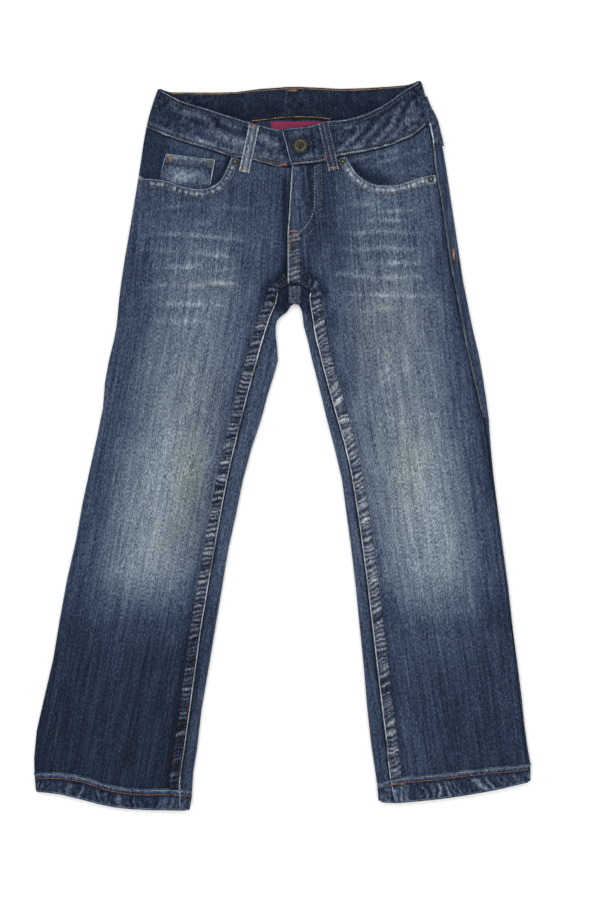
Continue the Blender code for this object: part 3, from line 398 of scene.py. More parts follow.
def dye_and_shade(mesh, lights, patches, material, yellowed=0.0):
    """Stores the grain place, lightness, patchiness and straw tone of every corner. The lightness holds the
    worn dye and also painted shade and light.
    """
    grains = [grain_place(*grid_of(vertex.co), vertex.co.z * 1000) for vertex in mesh.vertices]
    mesh.attributes.new("grain", "FLOAT_VECTOR", "POINT")
    mesh.attributes.new("light", "FLOAT", "POINT")
    mesh.attributes.new("patchy", "FLOAT", "POINT")
    mesh.attributes.new("warm", "FLOAT", "POINT")
    mesh.attributes["grain"].data.foreach_set("vector", np.array(grains, "f").ravel())
    mesh.attributes["light"].data.foreach_set("value", np.clip(np.array(lights, "f"), 4, 240) / 255)
    mesh.attributes["patchy"].data.foreach_set("value", np.array(patches, "f"))
    warm = [yellowed + warmth(*grid_of(vertex.co)) for vertex in mesh.vertices]
    mesh.attributes["warm"].data.foreach_set("value", np.array(warm, "f"))
    mesh.materials.clear()
    mesh.materials.append(material)


def paint(piece, light, patchy, material, yellowed=0.0):
    """Gives every corner of a piece its lightness, read from its place."""
    spots = [(*grid_of(vertex.co), vertex.co.z * 1000) for vertex in piece.data.vertices]
    patches = [patchy(*spot) if callable(patchy) else patchy for spot in spots]
    dye_and_shade(piece.data, [light(*spot) for spot in spots], patches, material, yellowed)
    return piece


def half_surface(piece):
    shown = piece.evaluated_get(bpy.context.evaluated_depsgraph_get())
    mesh = shown.to_mesh()
    area = sum(polygon.area for polygon in mesh.polygons) / 2
    shown.to_mesh_clear()
    return area


def cut_as(piece, width, length, slot, held, *nodes):
    """Attaches a sewn piece to the root and hides the solids that it stands for. The cut size in metres only
    caps an area that nothing uses.
    """
    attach(piece, "root")
    if nodes:
        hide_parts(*nodes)
    area = min(half_surface(piece), 0.99 * width * length)
    return piece


print("ripple at the left thigh", round(ripple(190, 280, 4.0), 2), "mm")

# %% [markdown]
# ## Legs, yokes and back pockets
# The two front panels carry the look, so they get the finest cells. The back panels show as strips inside the
# inseams and outside the right outseam, where they are darker and less worn, with painted shadow in the
# crotch and beside the seams, and can be coarser.
# %% Seam lines
LEFT_INSEAM = [(281.5, 289.3), (277.6, 293), (276.6, 299), (276, 303), (273, 310), (268, 322), (263.2, 337),
               (258.3, 354), (253.4, 373), (247.2, 395), (240.3, 423), (234.1, 448), (228.6, 472),
               (220.1, 516), (212.6, 560), (201.6, 624), (194.6, 675), (185.6, 740), (180.2, 778),
               (179.4, 789)]
RIGHT_INSEAM = [(308.4, 289.6), (310.6, 293), (309.6, 299), (310.2, 303), (311.3, 310), (313.3, 322),
                (316, 337), (320, 354), (324.8, 373), (330.8, 395), (340, 428), (348.4, 459), (356, 501),
                (364.4, 559), (373.4, 633), (380, 689), (386.4, 740), (390.6, 778)]
RIGHT_OUTSEAM = [(429.8, 124), (433.4, 143), (435.8, 168), (441.3, 197), (444.2, 217), (451.1, 264),
                 (457.3, 295), (463.4, 327), (470.8, 364), (478.8, 397), (483.5, 417), (488.6, 456),
                 (492, 482), (500, 546), (506.6, 593), (516.8, 680), (526.6, 764)]
WAIST_SEAM_LEFT = [(147.5, 127), (158, 131.6), (168, 136), (189, 143), (206, 147.7), (231, 155.7),
                   (253, 159.9), (268, 163.6), (281, 166.6)]
WAIST_SEAM_RIGHT = [(290.6, 164.6), (301, 163.8), (316, 162), (326.5, 160), (339, 155.6), (352, 153),
                    (366, 150.6), (387, 145.4), (404, 139), (413.5, 134.4), (420, 129.6), (425, 125),
                    (430, 121.6), (436.6, 118.2)]
MOUTH_LEFT = [(138.5, 178.2), (150, 178.9), (162.5, 180.1), (171, 182.4), (179, 185.6), (188, 188),
              (197, 189.3), (204, 189.2), (210, 187.6), (216, 184.6), (221, 180.1), (225.4, 171.6),
              (228.4, 165.1), (231.4, 157.4)]
MOUTH_RIGHT = [(346.4, 156.8), (348, 159.6), (351, 165.6), (355, 171.6), (361, 177.6), (369, 182.6),
               (377, 185), (385, 185.6), (394, 185.2), (402, 183.6), (411, 180.6), (419, 177.6), (427, 176),
               (435, 174.9)]
FLY_EDGE = [(292.2, 166.2), (291.6, 180), (290.4, 200), (289.4, 216), (288.3, 230), (288.2, 256),
            (288.3, 283)]
print("the fly edge reaches down to v", FLY_EDGE[-1][1])

def front_light(u, v, z):
    # Painted light and shade of the folds: ridges are painted lighter and troughs darker.
    light = leg_light(u, v) + 9 * fold_at(u, v)
    # Painted shadow left of the fly edge under the overlapping flap, a darker fly, and painted light and
    # shade of the puckers along its stitching.
    if 255 < u < 330 and v < 300:
        uneven = 1 + 1.3 * uneven_at(u * 0.12, v * 0.075, 4.0)
        light -= 36 * hump(u, 285.5, 4.2) * soft((290 - v) / 20) * soft((v - 168) / 20)
        light -= 10 * hump(u, 312, 14) * soft((262 - v) / 20)
        light += 13 * uneven * hump(u, 297, 1.9) * soft((228 - v) / 8)
        light -= 8 * uneven * hump(u, 302.5, 1.8) * soft((228 - v) / 8)
        light -= 20 * hump(u, 309.5, 2.6) * soft((222 - v) / 12)
        light += 14 * uneven * hump(u, 318, 2.0) * soft((220 - v) / 12)
    # Painted shade in the crotch creases.
    if v < 340:
        light -= 26 * beside(u, v, [(262, 300), (276, 282), (286, 268)], 8)
        light -= 24 * beside(u, v, [(320, 292), (308, 276), (303, 262)], 7)
    # Painted shadow beside the right outseam.
    if u > 420:
        light -= 22 * beside(u, v, RIGHT_OUTSEAM, 3.5) * soft((520 - v) / 60)
    if 150 < v:
        seam = LEFT_INSEAM if u < BETWEEN_LEGS else RIGHT_INSEAM
        beyond = near(u, v, seam)
        if beyond < 24:
            light -= 14 * hump(beyond, 14, 3.5)
    return light


def back_light(u, v, z):
    if z < 1.9:
        return 58 + 0.25 * (leg_light(u, v) - 60)
    light = 66 + 0.16 * (leg_light(u, v) - 60)
    # Painted shadow in the crotch.
    if 270 < u < 318 and 280 < v < 312:
        return light - 34 * soft((322 - v) / 14)
    if u > 420:
        light = 62 - 8 * soft((v - 560) / 100)
        # Painted shadow beside the right outseam.
        light -= 20 * beside(u, v, RIGHT_OUTSEAM, 2.0) * soft((520 - v) / 60)
        return light
    if v > 290:
        light += 8 * soft((v - 320) / 60) - 10 * soft((v - 560) / 80)
        seam = LEFT_INSEAM if u < BETWEEN_LEGS else RIGHT_INSEAM
        # Painted shadow beside the inseam fold.
        light -= 26 * beside(u, v, seam, 2.6)
    return light


def fly_patches(u, v, z):
    return 0.15 + 0.6 * hump(u, 306, 16) * soft((262 - v) / 30)


# %% Leg panels
panels = {}
for node, cell, width, length, light, patchy in (
        ("front_left", 0.0023, 0.215, 0.655, front_light, 0.15),
        ("front_right", 0.0023, 0.20, 0.65, front_light, fly_patches),
        ("back_left", 0.0052, 0.24, 0.665, back_light, 0.15),
        ("back_right", 0.0052, 0.26, 0.665, back_light, 0.15),
        ("yoke_left", 0.006, 0.15, 0.062, back_light, 0.1),
        ("yoke_right", 0.004, 0.165, 0.062, back_light, 0.3),
        ("back_pocket_left", 0.006, 0.098, 0.113, back_light, 0.3),
        ("back_pocket_right", 0.006, 0.1, 0.113, back_light, 0.3)):
    piece = paint(cloth_copy(node, cell), light, patchy, denim_cloth)
    panels[node] = cut_as(piece, width, length, "denim", "laid", node)
    print(node, len(piece.data.vertices), "corners")

# %% [markdown]
# ## Hip facings and the coin pocket
# Above each pocket mouth the facing shows, shaded where it goes down into the pocket. The left one carries
# the small coin pocket, worn pale in the middle. They could share the leg's lightness, but they sit deeper
# and wear differently, so each has a function of its own.
# %% Facings and coin pocket
def facing_light(u, v, z):
    if u < BETWEEN_LEGS:
        light = 46 + 16 * soft((u - 160) / 20)
        # Painted shade where the facing goes down into the pocket and along the waist seam under the band.
        light -= 30 * beside(u, v, [(218, 186), (224, 176), (229, 162)], 5)
        light += 12 * beside(u, v, [(172, 142), (200, 151), (222, 160)], 4)
        return light - 12 * beside(u, v, WAIST_SEAM_LEFT, 3)
    light = 74 - 14 * soft((380 - u) / 30)
    # Painted shade into the pocket mouth, beside the outseam and along the waist seam under the band.
    light -= 34 * beside(u, v, [(354, 168), (366, 177), (384, 181)], 6)
    light -= 12 * beside(u, v, RIGHT_OUTSEAM, 4)
    for line, wide, strength in (([(350, 161), (372, 156), (398, 150)], 1.7, 22),
                                 ([(378, 163), (402, 157), (421, 149)], 1.7, 22),
                                 ([(360, 167), (380, 165)], 2.2, 12), ([(392, 172), (424, 168)], 3.0, 10)):
        light += strength * beside(u, v, line, wide)
    return light - 14 * beside(u, v, WAIST_SEAM_RIGHT, 3)


def coin_light(u, v, z):
    light = 74 + 56 * hump(u, 184, 17) * hump(v, 177, 8)
    light -= 30 * beside(u, v, [(167, 164.5), (190, 166.5), (212, 169)], 1.6)
    light += 48 * beside(u, v, [(166, 155.4), (190, 158), (214, 161.4)], 2.6)
    light -= 14 * beside(u, v, [(170, 186), (208, 188)], 4)
    return light


for node, width, length, light, patchy in (("facing_left", 0.112, 0.07, facing_light, 0.2),
                                           ("facing_right", 0.108, 0.074, facing_light, 0.25),
                                           ("coin_pocket", 0.05, 0.034, coin_light, 0.6)):
    piece = paint(cloth_copy(node, 0.0022), light, patchy, denim_trim)
    panels[node] = cut_as(piece, width, length, "denim", "laid", node)
    print(node, len(piece.data.vertices), "corners")

# %% [markdown]
# ## Waistband
# The band is two layers of denim folded over, so it is stiffer than the legs and wears in patches. Inside the
# back it has kept its dark dye, and painted shade darkens it further down into the opening. A noise could
# scatter the wear, but on a real band it follows the creases, so each worn crease is a short line here,
# raised a little and lighter, with a dark side.
# %% Waistband
BAND_WEAR = [([(186, 112), (200, 116), (212, 124)], 3.0, 26), ([(172, 104), (186, 118)], 3.5, 14),
             ([(208, 130), (228, 139), (246, 143)], 4.0, 20), ([(222, 122), (240, 130)], 2.5, 18),
             ([(196, 140), (214, 144)], 3.0, 22), ([(262, 138), (276, 146)], 4.0, 26),
             ([(266, 154), (282, 157)], 3.0, 20), ([(292, 136), (306, 133)], 2.5, 16),
             ([(306, 157), (318, 152)], 3.0, 18), ([(340, 150), (354, 138), (366, 124)], 2.4, 24),
             ([(356, 148), (370, 135), (382, 121)], 2.6, 24), ([(374, 142), (390, 128), (398, 112)], 2.6, 26),
             ([(392, 136), (406, 122), (414, 104)], 2.8, 24), ([(410, 126), (420, 108), (424, 94)], 3.0, 24),
             ([(384, 118), (404, 104)], 2.2, 20), ([(345, 128), (360, 126)], 2.2, 18)]


# Creases that show inside the back of the band
BAND_INSIDE = [[(184, 97), (190, 105)], [(301, 96), (309, 106), (319, 115)], [(334, 108), (347, 117)],
               [(352, 96), (362, 104)], [(378, 95), (384, 104)], [(243, 100), (247, 112)],
               [(214, 98), (216, 108)]]
BAND_TOP_LEFT = [(160, 91.4), (167, 94.8), (179, 101.2), (193, 106), (208, 110.4), (224, 115.6), (240, 120.6),
                 (256, 125.2), (270, 129), (280, 130.8)]
BAND_TOP_RIGHT = [(284, 130.2), (299, 128.8), (309, 127.7), (319, 124.9), (331, 121.9), (344, 120.9),
                  (360, 117), (377, 109.9), (392, 100.7), (402, 93.2), (411, 87.6), (419, 83)]


def band_light(u, v, z):
    if v < reading(BAND_TOP_LEFT + BAND_TOP_RIGHT, u) - 1.2:
        if z < 1.5:
            return 58
        # Inside the back: dark dye with painted shade that deepens down into the opening, and its creases as
        # lighter lines.
        inside = 40 - 13 * soft((v - 96) / 14) + 8 * uneven_at(u * 0.09 - v * 0.05, v * 0.04, 6.0)
        for line in BAND_INSIDE:
            inside += 13 * beside(u, v, line, 2.0)
        return inside
    light = 52 + 5 * soft((v - 100) / 30) - 4 * soft((u - 285) / 20)
    for line, wide, strength in BAND_WEAR:
        if abs(u - line[0][0]) < 45:
            away = near(u, v, line)
            light += 1.25 * strength * math.exp(-(away / wide) ** 2)
            light -= 0.55 * strength * math.exp(-((away - 2.1 * wide) / (0.9 * wide)) ** 2)
    seam = WAIST_SEAM_LEFT if u < 286 else WAIST_SEAM_RIGHT
    light += 30 * math.exp(-((near(u, v, seam) - 4.6) / 1.7) ** 2)
    light -= 12 * math.exp(-((near(u, v, seam) - 2.4) / 1.1) ** 2)
    if u < 281:
        light -= 8 * soft((175 - u) / 18)
        light += 18 * beside(u, v, [(196, 136), (225, 142), (262, 152)], 9)
        light += 12 * beside(u, v, [(262, 134), (274, 150)], 9)
        return light
    light += 14 * beside(u, v, [(352, 142), (384, 134), (412, 112)], 10)
    light -= 6 * beside(u, v, [(305, 150), (318, 140)], 8)
    return light


band = cloth_copy("waistband", 0.0022, ease=4)
for vertex in band.data.vertices:
    u, v = grid_of(vertex.co)
    if vertex.co.z > 0.0041:
        vertex.co.z += sum(0.00055 * beside(u, v, line, wide) for line, wide, strength in BAND_WEAR
                           if abs(u - line[0][0]) < 40)
piece = paint(band, band_light, lambda u, v, z: 0.25 if z < 3.2 else 0.62, denim_trim, 0.2)
panels["waistband"] = cut_as(piece, 0.63, 0.042, "denim", "folded", "waistband")
print("waistband", len(piece.data.vertices), "corners")

# %% [markdown]
# ## Finding the surface
# Thread, rolled edges and seam bands lie on the cloth. A ray from above finds the height of the cloth
# under any place, so a seam follows each lump of the panel that it holds.
# %% Surface finder
def surface_of(pieces):
    corners, faces = [], []
    for piece in pieces:
        start = len(corners)
        corners += [v.co.copy() for v in piece.data.vertices]
        faces += [[start + i for i in p.vertices] for p in piece.data.polygons]
    return BVHTree.FromPolygons(corners, faces)


PLAIN_HEIGHT = 3.4  # mm, where a ray finds no cloth


def height_at(tree, u, v, fallback=PLAIN_HEIGHT):
    hit = tree.ray_cast(place(u, v, 40.0), Vector((0, 0, -1)))
    return hit[0].z * 1000 if hit[0] is not None else fallback


cloth_top = surface_of(panels.values())
print("cloth height at the button", round(height_at(cloth_top, 300, 146), 2), "mm")

# %% [markdown]
# ## A strip on the cloth
# Seam bands, loops and rolled edges are all strips. One grid is made, then its corners are moved so one
# side runs along a line, and each corner rests on the cloth with its own lift.
# %% Strips
def strip(name, line, offsets, lift, tree, thickness, spacing):
    """A band along a line of places. Offsets are mm to the side, lift gives mm above the cloth."""
    places = run_line(line, spacing)
    count, wide = len(places), len(offsets)
    sides = []
    for i in range(count):
        (u0, v0), (u1, v1) = places[max(i - 1, 0)], places[min(i + 1, count - 1)]
        length = math.hypot(u1 - u0, v1 - v0)
        sides.append(((v1 - v0) / length, -(u1 - u0) / length))
    bm = bmesh.new()
    bmesh.ops.create_grid(bm, x_segments=count - 1, y_segments=wide - 1, size=1)
    heights = np.zeros((count, wide))
    spots = {}
    for i in range(count):
        for j, offset in enumerate(offsets):
            u = places[i][0] + sides[i][0] * offset / STEP
            v = places[i][1] + sides[i][1] * offset / STEP
            spots[i, j] = (u, v)
            heights[i, j] = height_at(tree, u, v, np.nan)
    for i in range(count):
        known = heights[i][~np.isnan(heights[i])]
        before = heights[i - 1].mean() if i else PLAIN_HEIGHT
        heights[i][np.isnan(heights[i])] = known.mean() if len(known) else before
    for turn in range(2):
        heights[1:-1] = 0.25 * heights[:-2] + 0.5 * heights[1:-1] + 0.25 * heights[2:]
    for vertex in bm.verts:
        i = int(round((vertex.co.x + 1) / 2 * (count - 1)))
        j = int(round((vertex.co.y + 1) / 2 * (wide - 1)))
        u, v = spots[i, j]
        vertex.co = place(u, v, heights[i, j] + lift(i * spacing, offsets[j]))
    bmesh.ops.recalc_face_normals(bm, faces=bm.faces[:])
    if sum(face.normal.z for face in bm.faces) < 0:
        bmesh.ops.reverse_faces(bm, faces=bm.faces[:])
    made = as_piece(name, bm)
    wall = made.modifiers.new("wall", "SOLIDIFY")
    wall.thickness = thickness / 1000
    wall.offset = -1.0
    made["length"] = count * spacing / 1000
    return made


def side_of(line, offset, tail=0, head=0):
    """The same line moved sideways by steps, with some places left off its ends."""
    made = []
    for i, (u, v) in enumerate(line):
        (u0, v0), (u1, v1) = line[max(i - 1, 0)], line[min(i + 1, len(line) - 1)]
        length = math.hypot(u1 - u0, v1 - v0)
        made.append((u + (v1 - v0) / length * offset, v - (u1 - u0) / length * offset))
    return made[head:len(made) - tail if tail else None]


# %% [markdown]
# ## Puckered inseams
# Each inseam is felled: the front is folded over and sewn with two rows of thread. The thread shrank in
# the wash, so the fold has puckers every 5 mm, pale on their crests and dark between them. Bump in a
# material would be flat from the side, so the puckers are real waves in the strip.
# %% Seam bands
PUCKER = 5.0  # mm from crest to crest
SEAM_STEP = 1.2  # mm from row to row of the strip
SOFT_TOP = 126  # crests lighter than this are held back


def pucker_at(run, seed):
    """Uneven waves along a seam, from 0 in a trough to 1 on a crest."""
    shift = 1.5 * uneven_at(run * 0.04, seed, 0.0) + 0.42 * uneven_at(run * 0.21, seed, 3.0)
    size = 0.8 + 0.8 * uneven_at(run * 0.11, seed, 7.0)
    return (0.5 + 0.5 * math.sin((run / PUCKER + shift) * 2 * math.pi)) * max(0.35, size)


def seam_band(name, node, line, offsets, seed, tree, dark_side, base=(33, 190), lift0=1.2,
              yellowed=0.35):
    middle = (offsets[0] + offsets[-1]) / 2
    half = abs(offsets[-1] - offsets[0]) / 2

    def lift(run, offset):
        inner = 1 - abs(offset - middle) / half
        return lift0 + 0.62 * pucker_at(run + 0.35 * offset, seed) * soft(inner * 3 + 0.25)

    made = strip(name, line, offsets, lift, tree, 0.85, SEAM_STEP)
    mesh = made.data
    count = len(run_line(line, SEAM_STEP))
    lights = []
    for k, vertex in enumerate(mesh.vertices):
        i, j = k % count, k // count
        u, v = grid_of(vertex.co)
        run, offset = i * SEAM_STEP, offsets[j]
        lean = 0.35 + 0.5 * uneven_at(run * 0.03, seed, 11.0)
        crest = pucker_at(run + lean * offset + 1.5 * uneven_at(run * 0.13, offset * 0.25, seed), seed)
        inner = (offset - middle) / half
        tone = base[0] + (base[1] - base[0]) * crest ** 1.3
        tone *= min(1.25, 0.3 + 0.7 * leg_light(u, v) / 90)
        if u < BETWEEN_LEGS:
            tone *= 1 - 0.32 * soft((v - 680) / 60)
        # Painted shade darkens both inseams in the crotch, where they meet.
        if name.startswith("inseam"):  # both inseams are dark where they meet
            tone *= 1 - 0.62 * hump(u, 294, 27) * hump(v, 286, 25)
        shade = math.exp(-((inner * dark_side - 0.72) / 0.22) ** 2)
        tone -= 34 * shade * (0.6 + 0.4 * math.sin(run * 1.9))
        shade = math.exp(-((inner * dark_side + 0.72) / 0.2) ** 2)
        tone -= 12 * shade
        lights.append(min(tone, SOFT_TOP + 0.4 * (tone - SOFT_TOP)))
    dye_and_shade(mesh, lights, [0.6] * len(lights), denim_trim, yellowed)
    width, length = round(half * 2 / 1000 * 1.08, 4), round(made["length"] * 1.06, 4)
    return cut_as(made, width, length, "denim_seams", "folded", node)


legs_top = surface_of([panels[part + side] for part in ("front", "back", "facing")
                       for side in ("_left", "_right")])
ARCH_LEFT = [(288.6, 283.2), (284.4, 285.4), (280.8, 288.8), (278.2, 293.4)]
ARCH_RIGHT = [(300.6, 283.2), (305.2, 285.4), (308.6, 289), (310.2, 294)]
seam_band("inseam_band_left", "inseam_fell_left", ARCH_LEFT + LEFT_INSEAM[2:],
          [-10.6, -9.4, -8, -6.4, -4.8, -3.4, -2.2, -1.0], 1.0, legs_top, 1)
seam_band("inseam_band_right", "inseam_fell_right", ARCH_RIGHT + RIGHT_INSEAM[2:],
          [1.0, 2.2, 3.6, 5.2, 6.8, 8.4, 10, 11.2], 5.0, legs_top, -1, (53, 220))
seam_band("rise_band_front", "rise_fell_front", [(294.6, 233.5), (294.6, 258), (294.6, 282.4)],
          [-5.9, -4.6, -2.6, 0, 2.6, 4.4, 5.6], 9.0, legs_top, -1, (58, 172), 1.25, 0.55)
seam_band("rise_band_back", "rise_fell_back", [(294.7, 286.2), (294.7, 294), (294.7, 303.6)],
          [-6.2, -5.2, -2.6, 0, 2.6, 5.2, 6.2], 13.0, legs_top, 0, (72, 116), 1.25, 0.6)
print("seam bands done")

# %% [markdown]
# ## Pocket mouths, belt loops and hems
# These are folded trims. They are copies of their solids with fine cells, and their lightness changes
# along them: pale on the worn folds, dark between the puckers of the two stitch rows.
# %% Mouths, loops and hems
def along(line, u, v):
    """How far along a line a place is, in mm."""
    best, run, found = 1e9, 0.0, 0.0
    for (u0, v0), (u1, v1) in zip(line, line[1:]):
        du, dv = u1 - u0, v1 - v0
        length = math.hypot(du, dv)
        t = min(1.0, max(0.0, ((u - u0) * du + (v - v0) * dv) / (length * length)))
        away = math.hypot(u - u0 - t * du, v - v0 - t * dv)
        if away < best:
            best, found = away, run + t * length
        run += length
    return found * STEP


def mouth_light(line, seed):
    def light(u, v, z):
        apart = near(u, v, line)
        crest = pucker_at(along(line, u, v), seed)
        tone = (97 if u > BETWEEN_LEGS else 69) + 108 * crest * hump(apart, 4.8, 2.2)
        tone += 40 * hump(apart, 0, 1.2) + 10 * hump(apart, 9, 1.0)
        tone -= 16 * hump(apart, 2.6, 0.9) + 14 * hump(apart, 7.2, 0.9)
        return tone
    return light


for node, line, seed in (("mouth_band_left", MOUTH_LEFT, 21.0), ("mouth_band_right", MOUTH_RIGHT, 27.0)):
    piece = paint(cloth_copy(node, 0.0014), mouth_light(line, seed), 0.6, denim_trim, 0.25)
    panels[node] = cut_as(piece, 0.0105, 0.128, "denim_seams", "folded", node)

LOOPS = {"loop_front_left": ((254.3, 125.5), (244, 172.5)), "loop_front_right": ((323.2, 122.8), (334, 171))}


def loop_light(line, pale):
    def light(u, v, z):
        apart = near(u, v, line)
        run = along(line, u, v)
        tone = 0.82 * pale + 46 * hump(apart, 4.7, 0.9) + 20 * hump(apart, 0, 1.0)
        tone -= 44 * hump(apart, 2.7, 0.9)
        tone += 26 * soft((run - 44) / 3) - 26 * soft((run - 49) / 1.5)
        return tone
    return light


for node, pale in (("loop_front_left", 134), ("loop_front_right", 78)):
    piece = paint(cloth_copy(node, 0.0009), loop_light(LOOPS[node], pale), 0.3, denim_trim, 0.1)
    panels[node] = cut_as(piece, 0.0115, 0.056, "denim_loops", "folded", node)
for node, width, length in (("loop_side_right", 0.0155, 0.053), ("loop_side_left", 0.0108, 0.03),
                            ("loop_back", 0.0108, 0.03)):
    piece = paint(cloth_copy(node, 0.003), lambda u, v, z: 60 - 6 * math.sin(v * 0.9), 0.7, denim_trim, 0.25)
    panels[node] = cut_as(piece, width, length, "denim_loops", "folded", node)

HEM_LEFT = [(34, 774), (45, 773.4), (59, 773.6), (72, 775.2), (82, 777), (92, 780), (102, 783.6), (116, 787),
            (130, 789), (145, 790), (158, 789.6), (170, 789.6), (182, 790.4), (192, 791)]
HEM_RIGHT = [(378, 784.5), (386, 781.4), (398, 778.6), (411, 777), (424, 776), (437, 774.8), (450, 773),
             (463, 771.4), (476, 770), (489, 768.6), (501, 767.4), (512, 766.6), (522, 765.4), (531, 763.6)]


def hem_light(line, seed, dark):
    def light(u, v, z):
        down = v - reading(line, u)
        if z < 1.9:
            return 50
        lean = 0.04 if u < BETWEEN_LEGS else -0.5
        wander = 5.0 * uneven_at(u * 0.05, down * 0.06, seed)
        rib = pucker_at((u * STEP + down * lean) * 0.62 + wander, seed) ** 2
        strength = 0.9 + 0.7 * uneven_at(u * 0.035, seed, 2.0)
        tone = dark + 64 * strength * rib * soft((down - 5) / 5) + 24 * soft((down - 17) / 2.5) * rib
        tone += 48 * hump(down, 1.5, 1.6) * (1 + 0.5 * uneven_at(u * 0.3, seed, 5.0))
        tone -= 10 * hump(down, 6.4, 1.3)
        tone += 24 * math.exp(-((u - (182 if u < BETWEEN_LEGS else 384)) / 5) ** 2) * soft(down / 4)
        across = (u - (170 if u < BETWEEN_LEGS else 401)) / 8
        return min(tone + 18 * math.exp(-across ** 4) * soft((down - 6) / 2), 122)
    return light


for node, line, seed, dark in (("hem_left", HEM_LEFT, 31.0, 38), ("hem_right", HEM_RIGHT, 37.0, 46)):
    piece = paint(cloth_copy(node, 0.0014, lumps=False), hem_light(line, seed, dark), 0.55, denim_trim, 0.2)
    panels[node] = cut_as(piece, 0.33, 0.0195, "denim_seams", "folded", node)
print("trims", sorted(n for n in panels if "band" in n or "loop" in n or "hem" in n))

# %% [markdown]
# ## Label
# A small pink woven label is caught in the seam under the back band. Woven tape is flatter and smoother
# than denim, so it gets its own material with fine flecks, and it is left bare.
# %% Label
def woven(name, colour):
    made, tree, shader = new_material(name)
    where = joined(tree, "ShaderNodeTexCoord")
    flecks = pattern(tree, where.outputs["Object"], (900, 500, 900), 3.0)
    level = sum_of(tree, flecks, 0.9, "MULTIPLY_ADD", 0.5)
    two_tone(tree, shader, level, [c * 0.62 for c in colour], [min(255, c * 1.25) for c in colour])
    bump = joined(tree, "ShaderNodeBump")
    bump.inputs["Strength"].default_value = 0.4
    bump.inputs["Distance"].default_value = 0.0002
    tree.links.new(flecks, bump.inputs["Height"])
    tree.links.new(bump.outputs["Normal"], shader.inputs["Normal"])
    shader.inputs["Roughness"].default_value = 0.7
    shader.inputs["Sheen Weight"].default_value = 0.05
    shader.inputs["Specular IOR Level"].default_value = 0.15
    return made


LABEL_PULL = 0.004  # the right end lies 4 mm further out than in the solid
pink = woven("pink_woven_label", (136, 42, 75))
piece = cloth_copy("label", 0.002, lumps=False)
for vertex in piece.data.vertices:
    u, v = grid_of(vertex.co)
    vertex.co.x += LABEL_PULL * soft((u - 300) / 18)
piece.data.materials.clear()
piece.data.materials.append(pink)
cut_as(piece, 0.0505, 0.0152, "label_cloth", "laid", "label")
print("label", len(piece.data.vertices), "corners")

# %% [markdown]
# ## Rolled edges
# Where denim is folded at a seam, the fold is rubbed until the white threads show, and a ditch lies beside
# it, painted dark with its shade. Both are under a millimetre wide, finer than the cells of the panels, so
# each edge is a thin strip of its own with a raised roll, and its own lightness across it.
# %% Rolled edges
ROLL_HIGH = 0.42  # mm
EDGE_STEP = 1.5  # mm from row to row of the strip
NO_STRAW = -0.5  # a rubbed edge shows white threads, so the straw tone is taken off
all_top = surface_of(panels.values())
under_loops = surface_of([piece for name, piece in panels.items() if "loop" not in name])


def rolled_edge(name, line, tones, tree=None, width=0.55, seed=0.0):
    """tones are the lightness of the rubbed roll and of the painted shade beside it. A negative width puts
    the shade on the left.
    """
    side = 1 if width > 0 else -1
    w = abs(width)
    offsets = [-1.5 * w, -0.7 * w, 0.0, 0.7 * w, 1.5 * w, 2.6 * w, 3.4 * w]
    rises = [0.05, 0.75, 1.0, 0.75, 0.12, 0.04, 0.0]
    roll, ditch_shade = tones
    # Across the strip: the rubbed roll, painted a little lighter on its crown, then the painted shade of the
    # ditch.
    shades = [roll * 0.8, roll, roll * 1.08, roll * 0.9, ditch_shade, ditch_shade, ditch_shade * 1.6]
    if side < 0:
        offsets = [-o for o in offsets]

    def lift(run, offset):
        k = int(np.argmin([abs(offset - o) for o in offsets]))
        return 0.1 + rises[k] * ROLL_HIGH

    made = strip(name, line, offsets, lift, tree or all_top, 0.12, EDGE_STEP)
    mesh = made.data
    count = len(run_line(line, EDGE_STEP))
    lights = []
    for k in range(len(mesh.vertices)):
        i, j = k % count, k // count
        lights.append(shades[j] * (1 + 0.35 * uneven_at(i * 0.16, seed, j * 0.3)))
    dye_and_shade(mesh, lights, [0.25] * len(lights), denim_trim, NO_STRAW)
    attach(made, "root")
    return made


rolled_edge("edge_waist_left", WAIST_SEAM_LEFT, (160, 18), under_loops, width=-0.6, seed=1.0)
rolled_edge("edge_waist_right", WAIST_SEAM_RIGHT, (172, 14), under_loops, width=-0.7, seed=2.0)
rolled_edge("edge_band_top_left", BAND_TOP_LEFT, (112, 46), width=0.42, seed=3.0)
rolled_edge("edge_band_top_right", BAND_TOP_RIGHT, (108, 46), width=0.42, seed=4.0)
rolled_edge("edge_overlap", [(282.6, 130.8), (285.4, 141), (288.4, 153), (291.6, 163.6)], (126, 26),
            width=0.5, seed=5.0)
rolled_edge("edge_fly", FLY_EDGE, (166, 10), width=-0.6, seed=6.0)
rolled_edge("edge_mouth_left", side_of(MOUTH_LEFT, -0.9), (132, 34), width=0.45, seed=7.0)
rolled_edge("edge_mouth_right", side_of(MOUTH_RIGHT, -0.9), (132, 30), width=0.45, seed=8.0)
rolled_edge("edge_inseam_left", LEFT_INSEAM[1:], (222, 22), width=0.54, seed=9.0)
rolled_edge("edge_inseam_right", RIGHT_INSEAM[1:], (228, 22), width=-0.6, seed=10.0)
rolled_edge("edge_outseam", RIGHT_OUTSEAM[:11], (196, 18), width=-0.6, seed=11.0)
rolled_edge("edge_coin_top", [(166, 154.6), (178, 155.6), (190, 157.2), (203, 158.8), (214.6, 160.4)],
            (150, 44), width=0.35, seed=12.0)
rolled_edge("edge_coin_left", [(166.2, 155.2), (163.6, 164), (160.8, 177)], (135, 40), width=0.35, seed=13.0)
rolled_edge("edge_coin_right", [(214.8, 161), (212.6, 172), (210.4, 185)], (150, 30), width=0.4, seed=14.0)
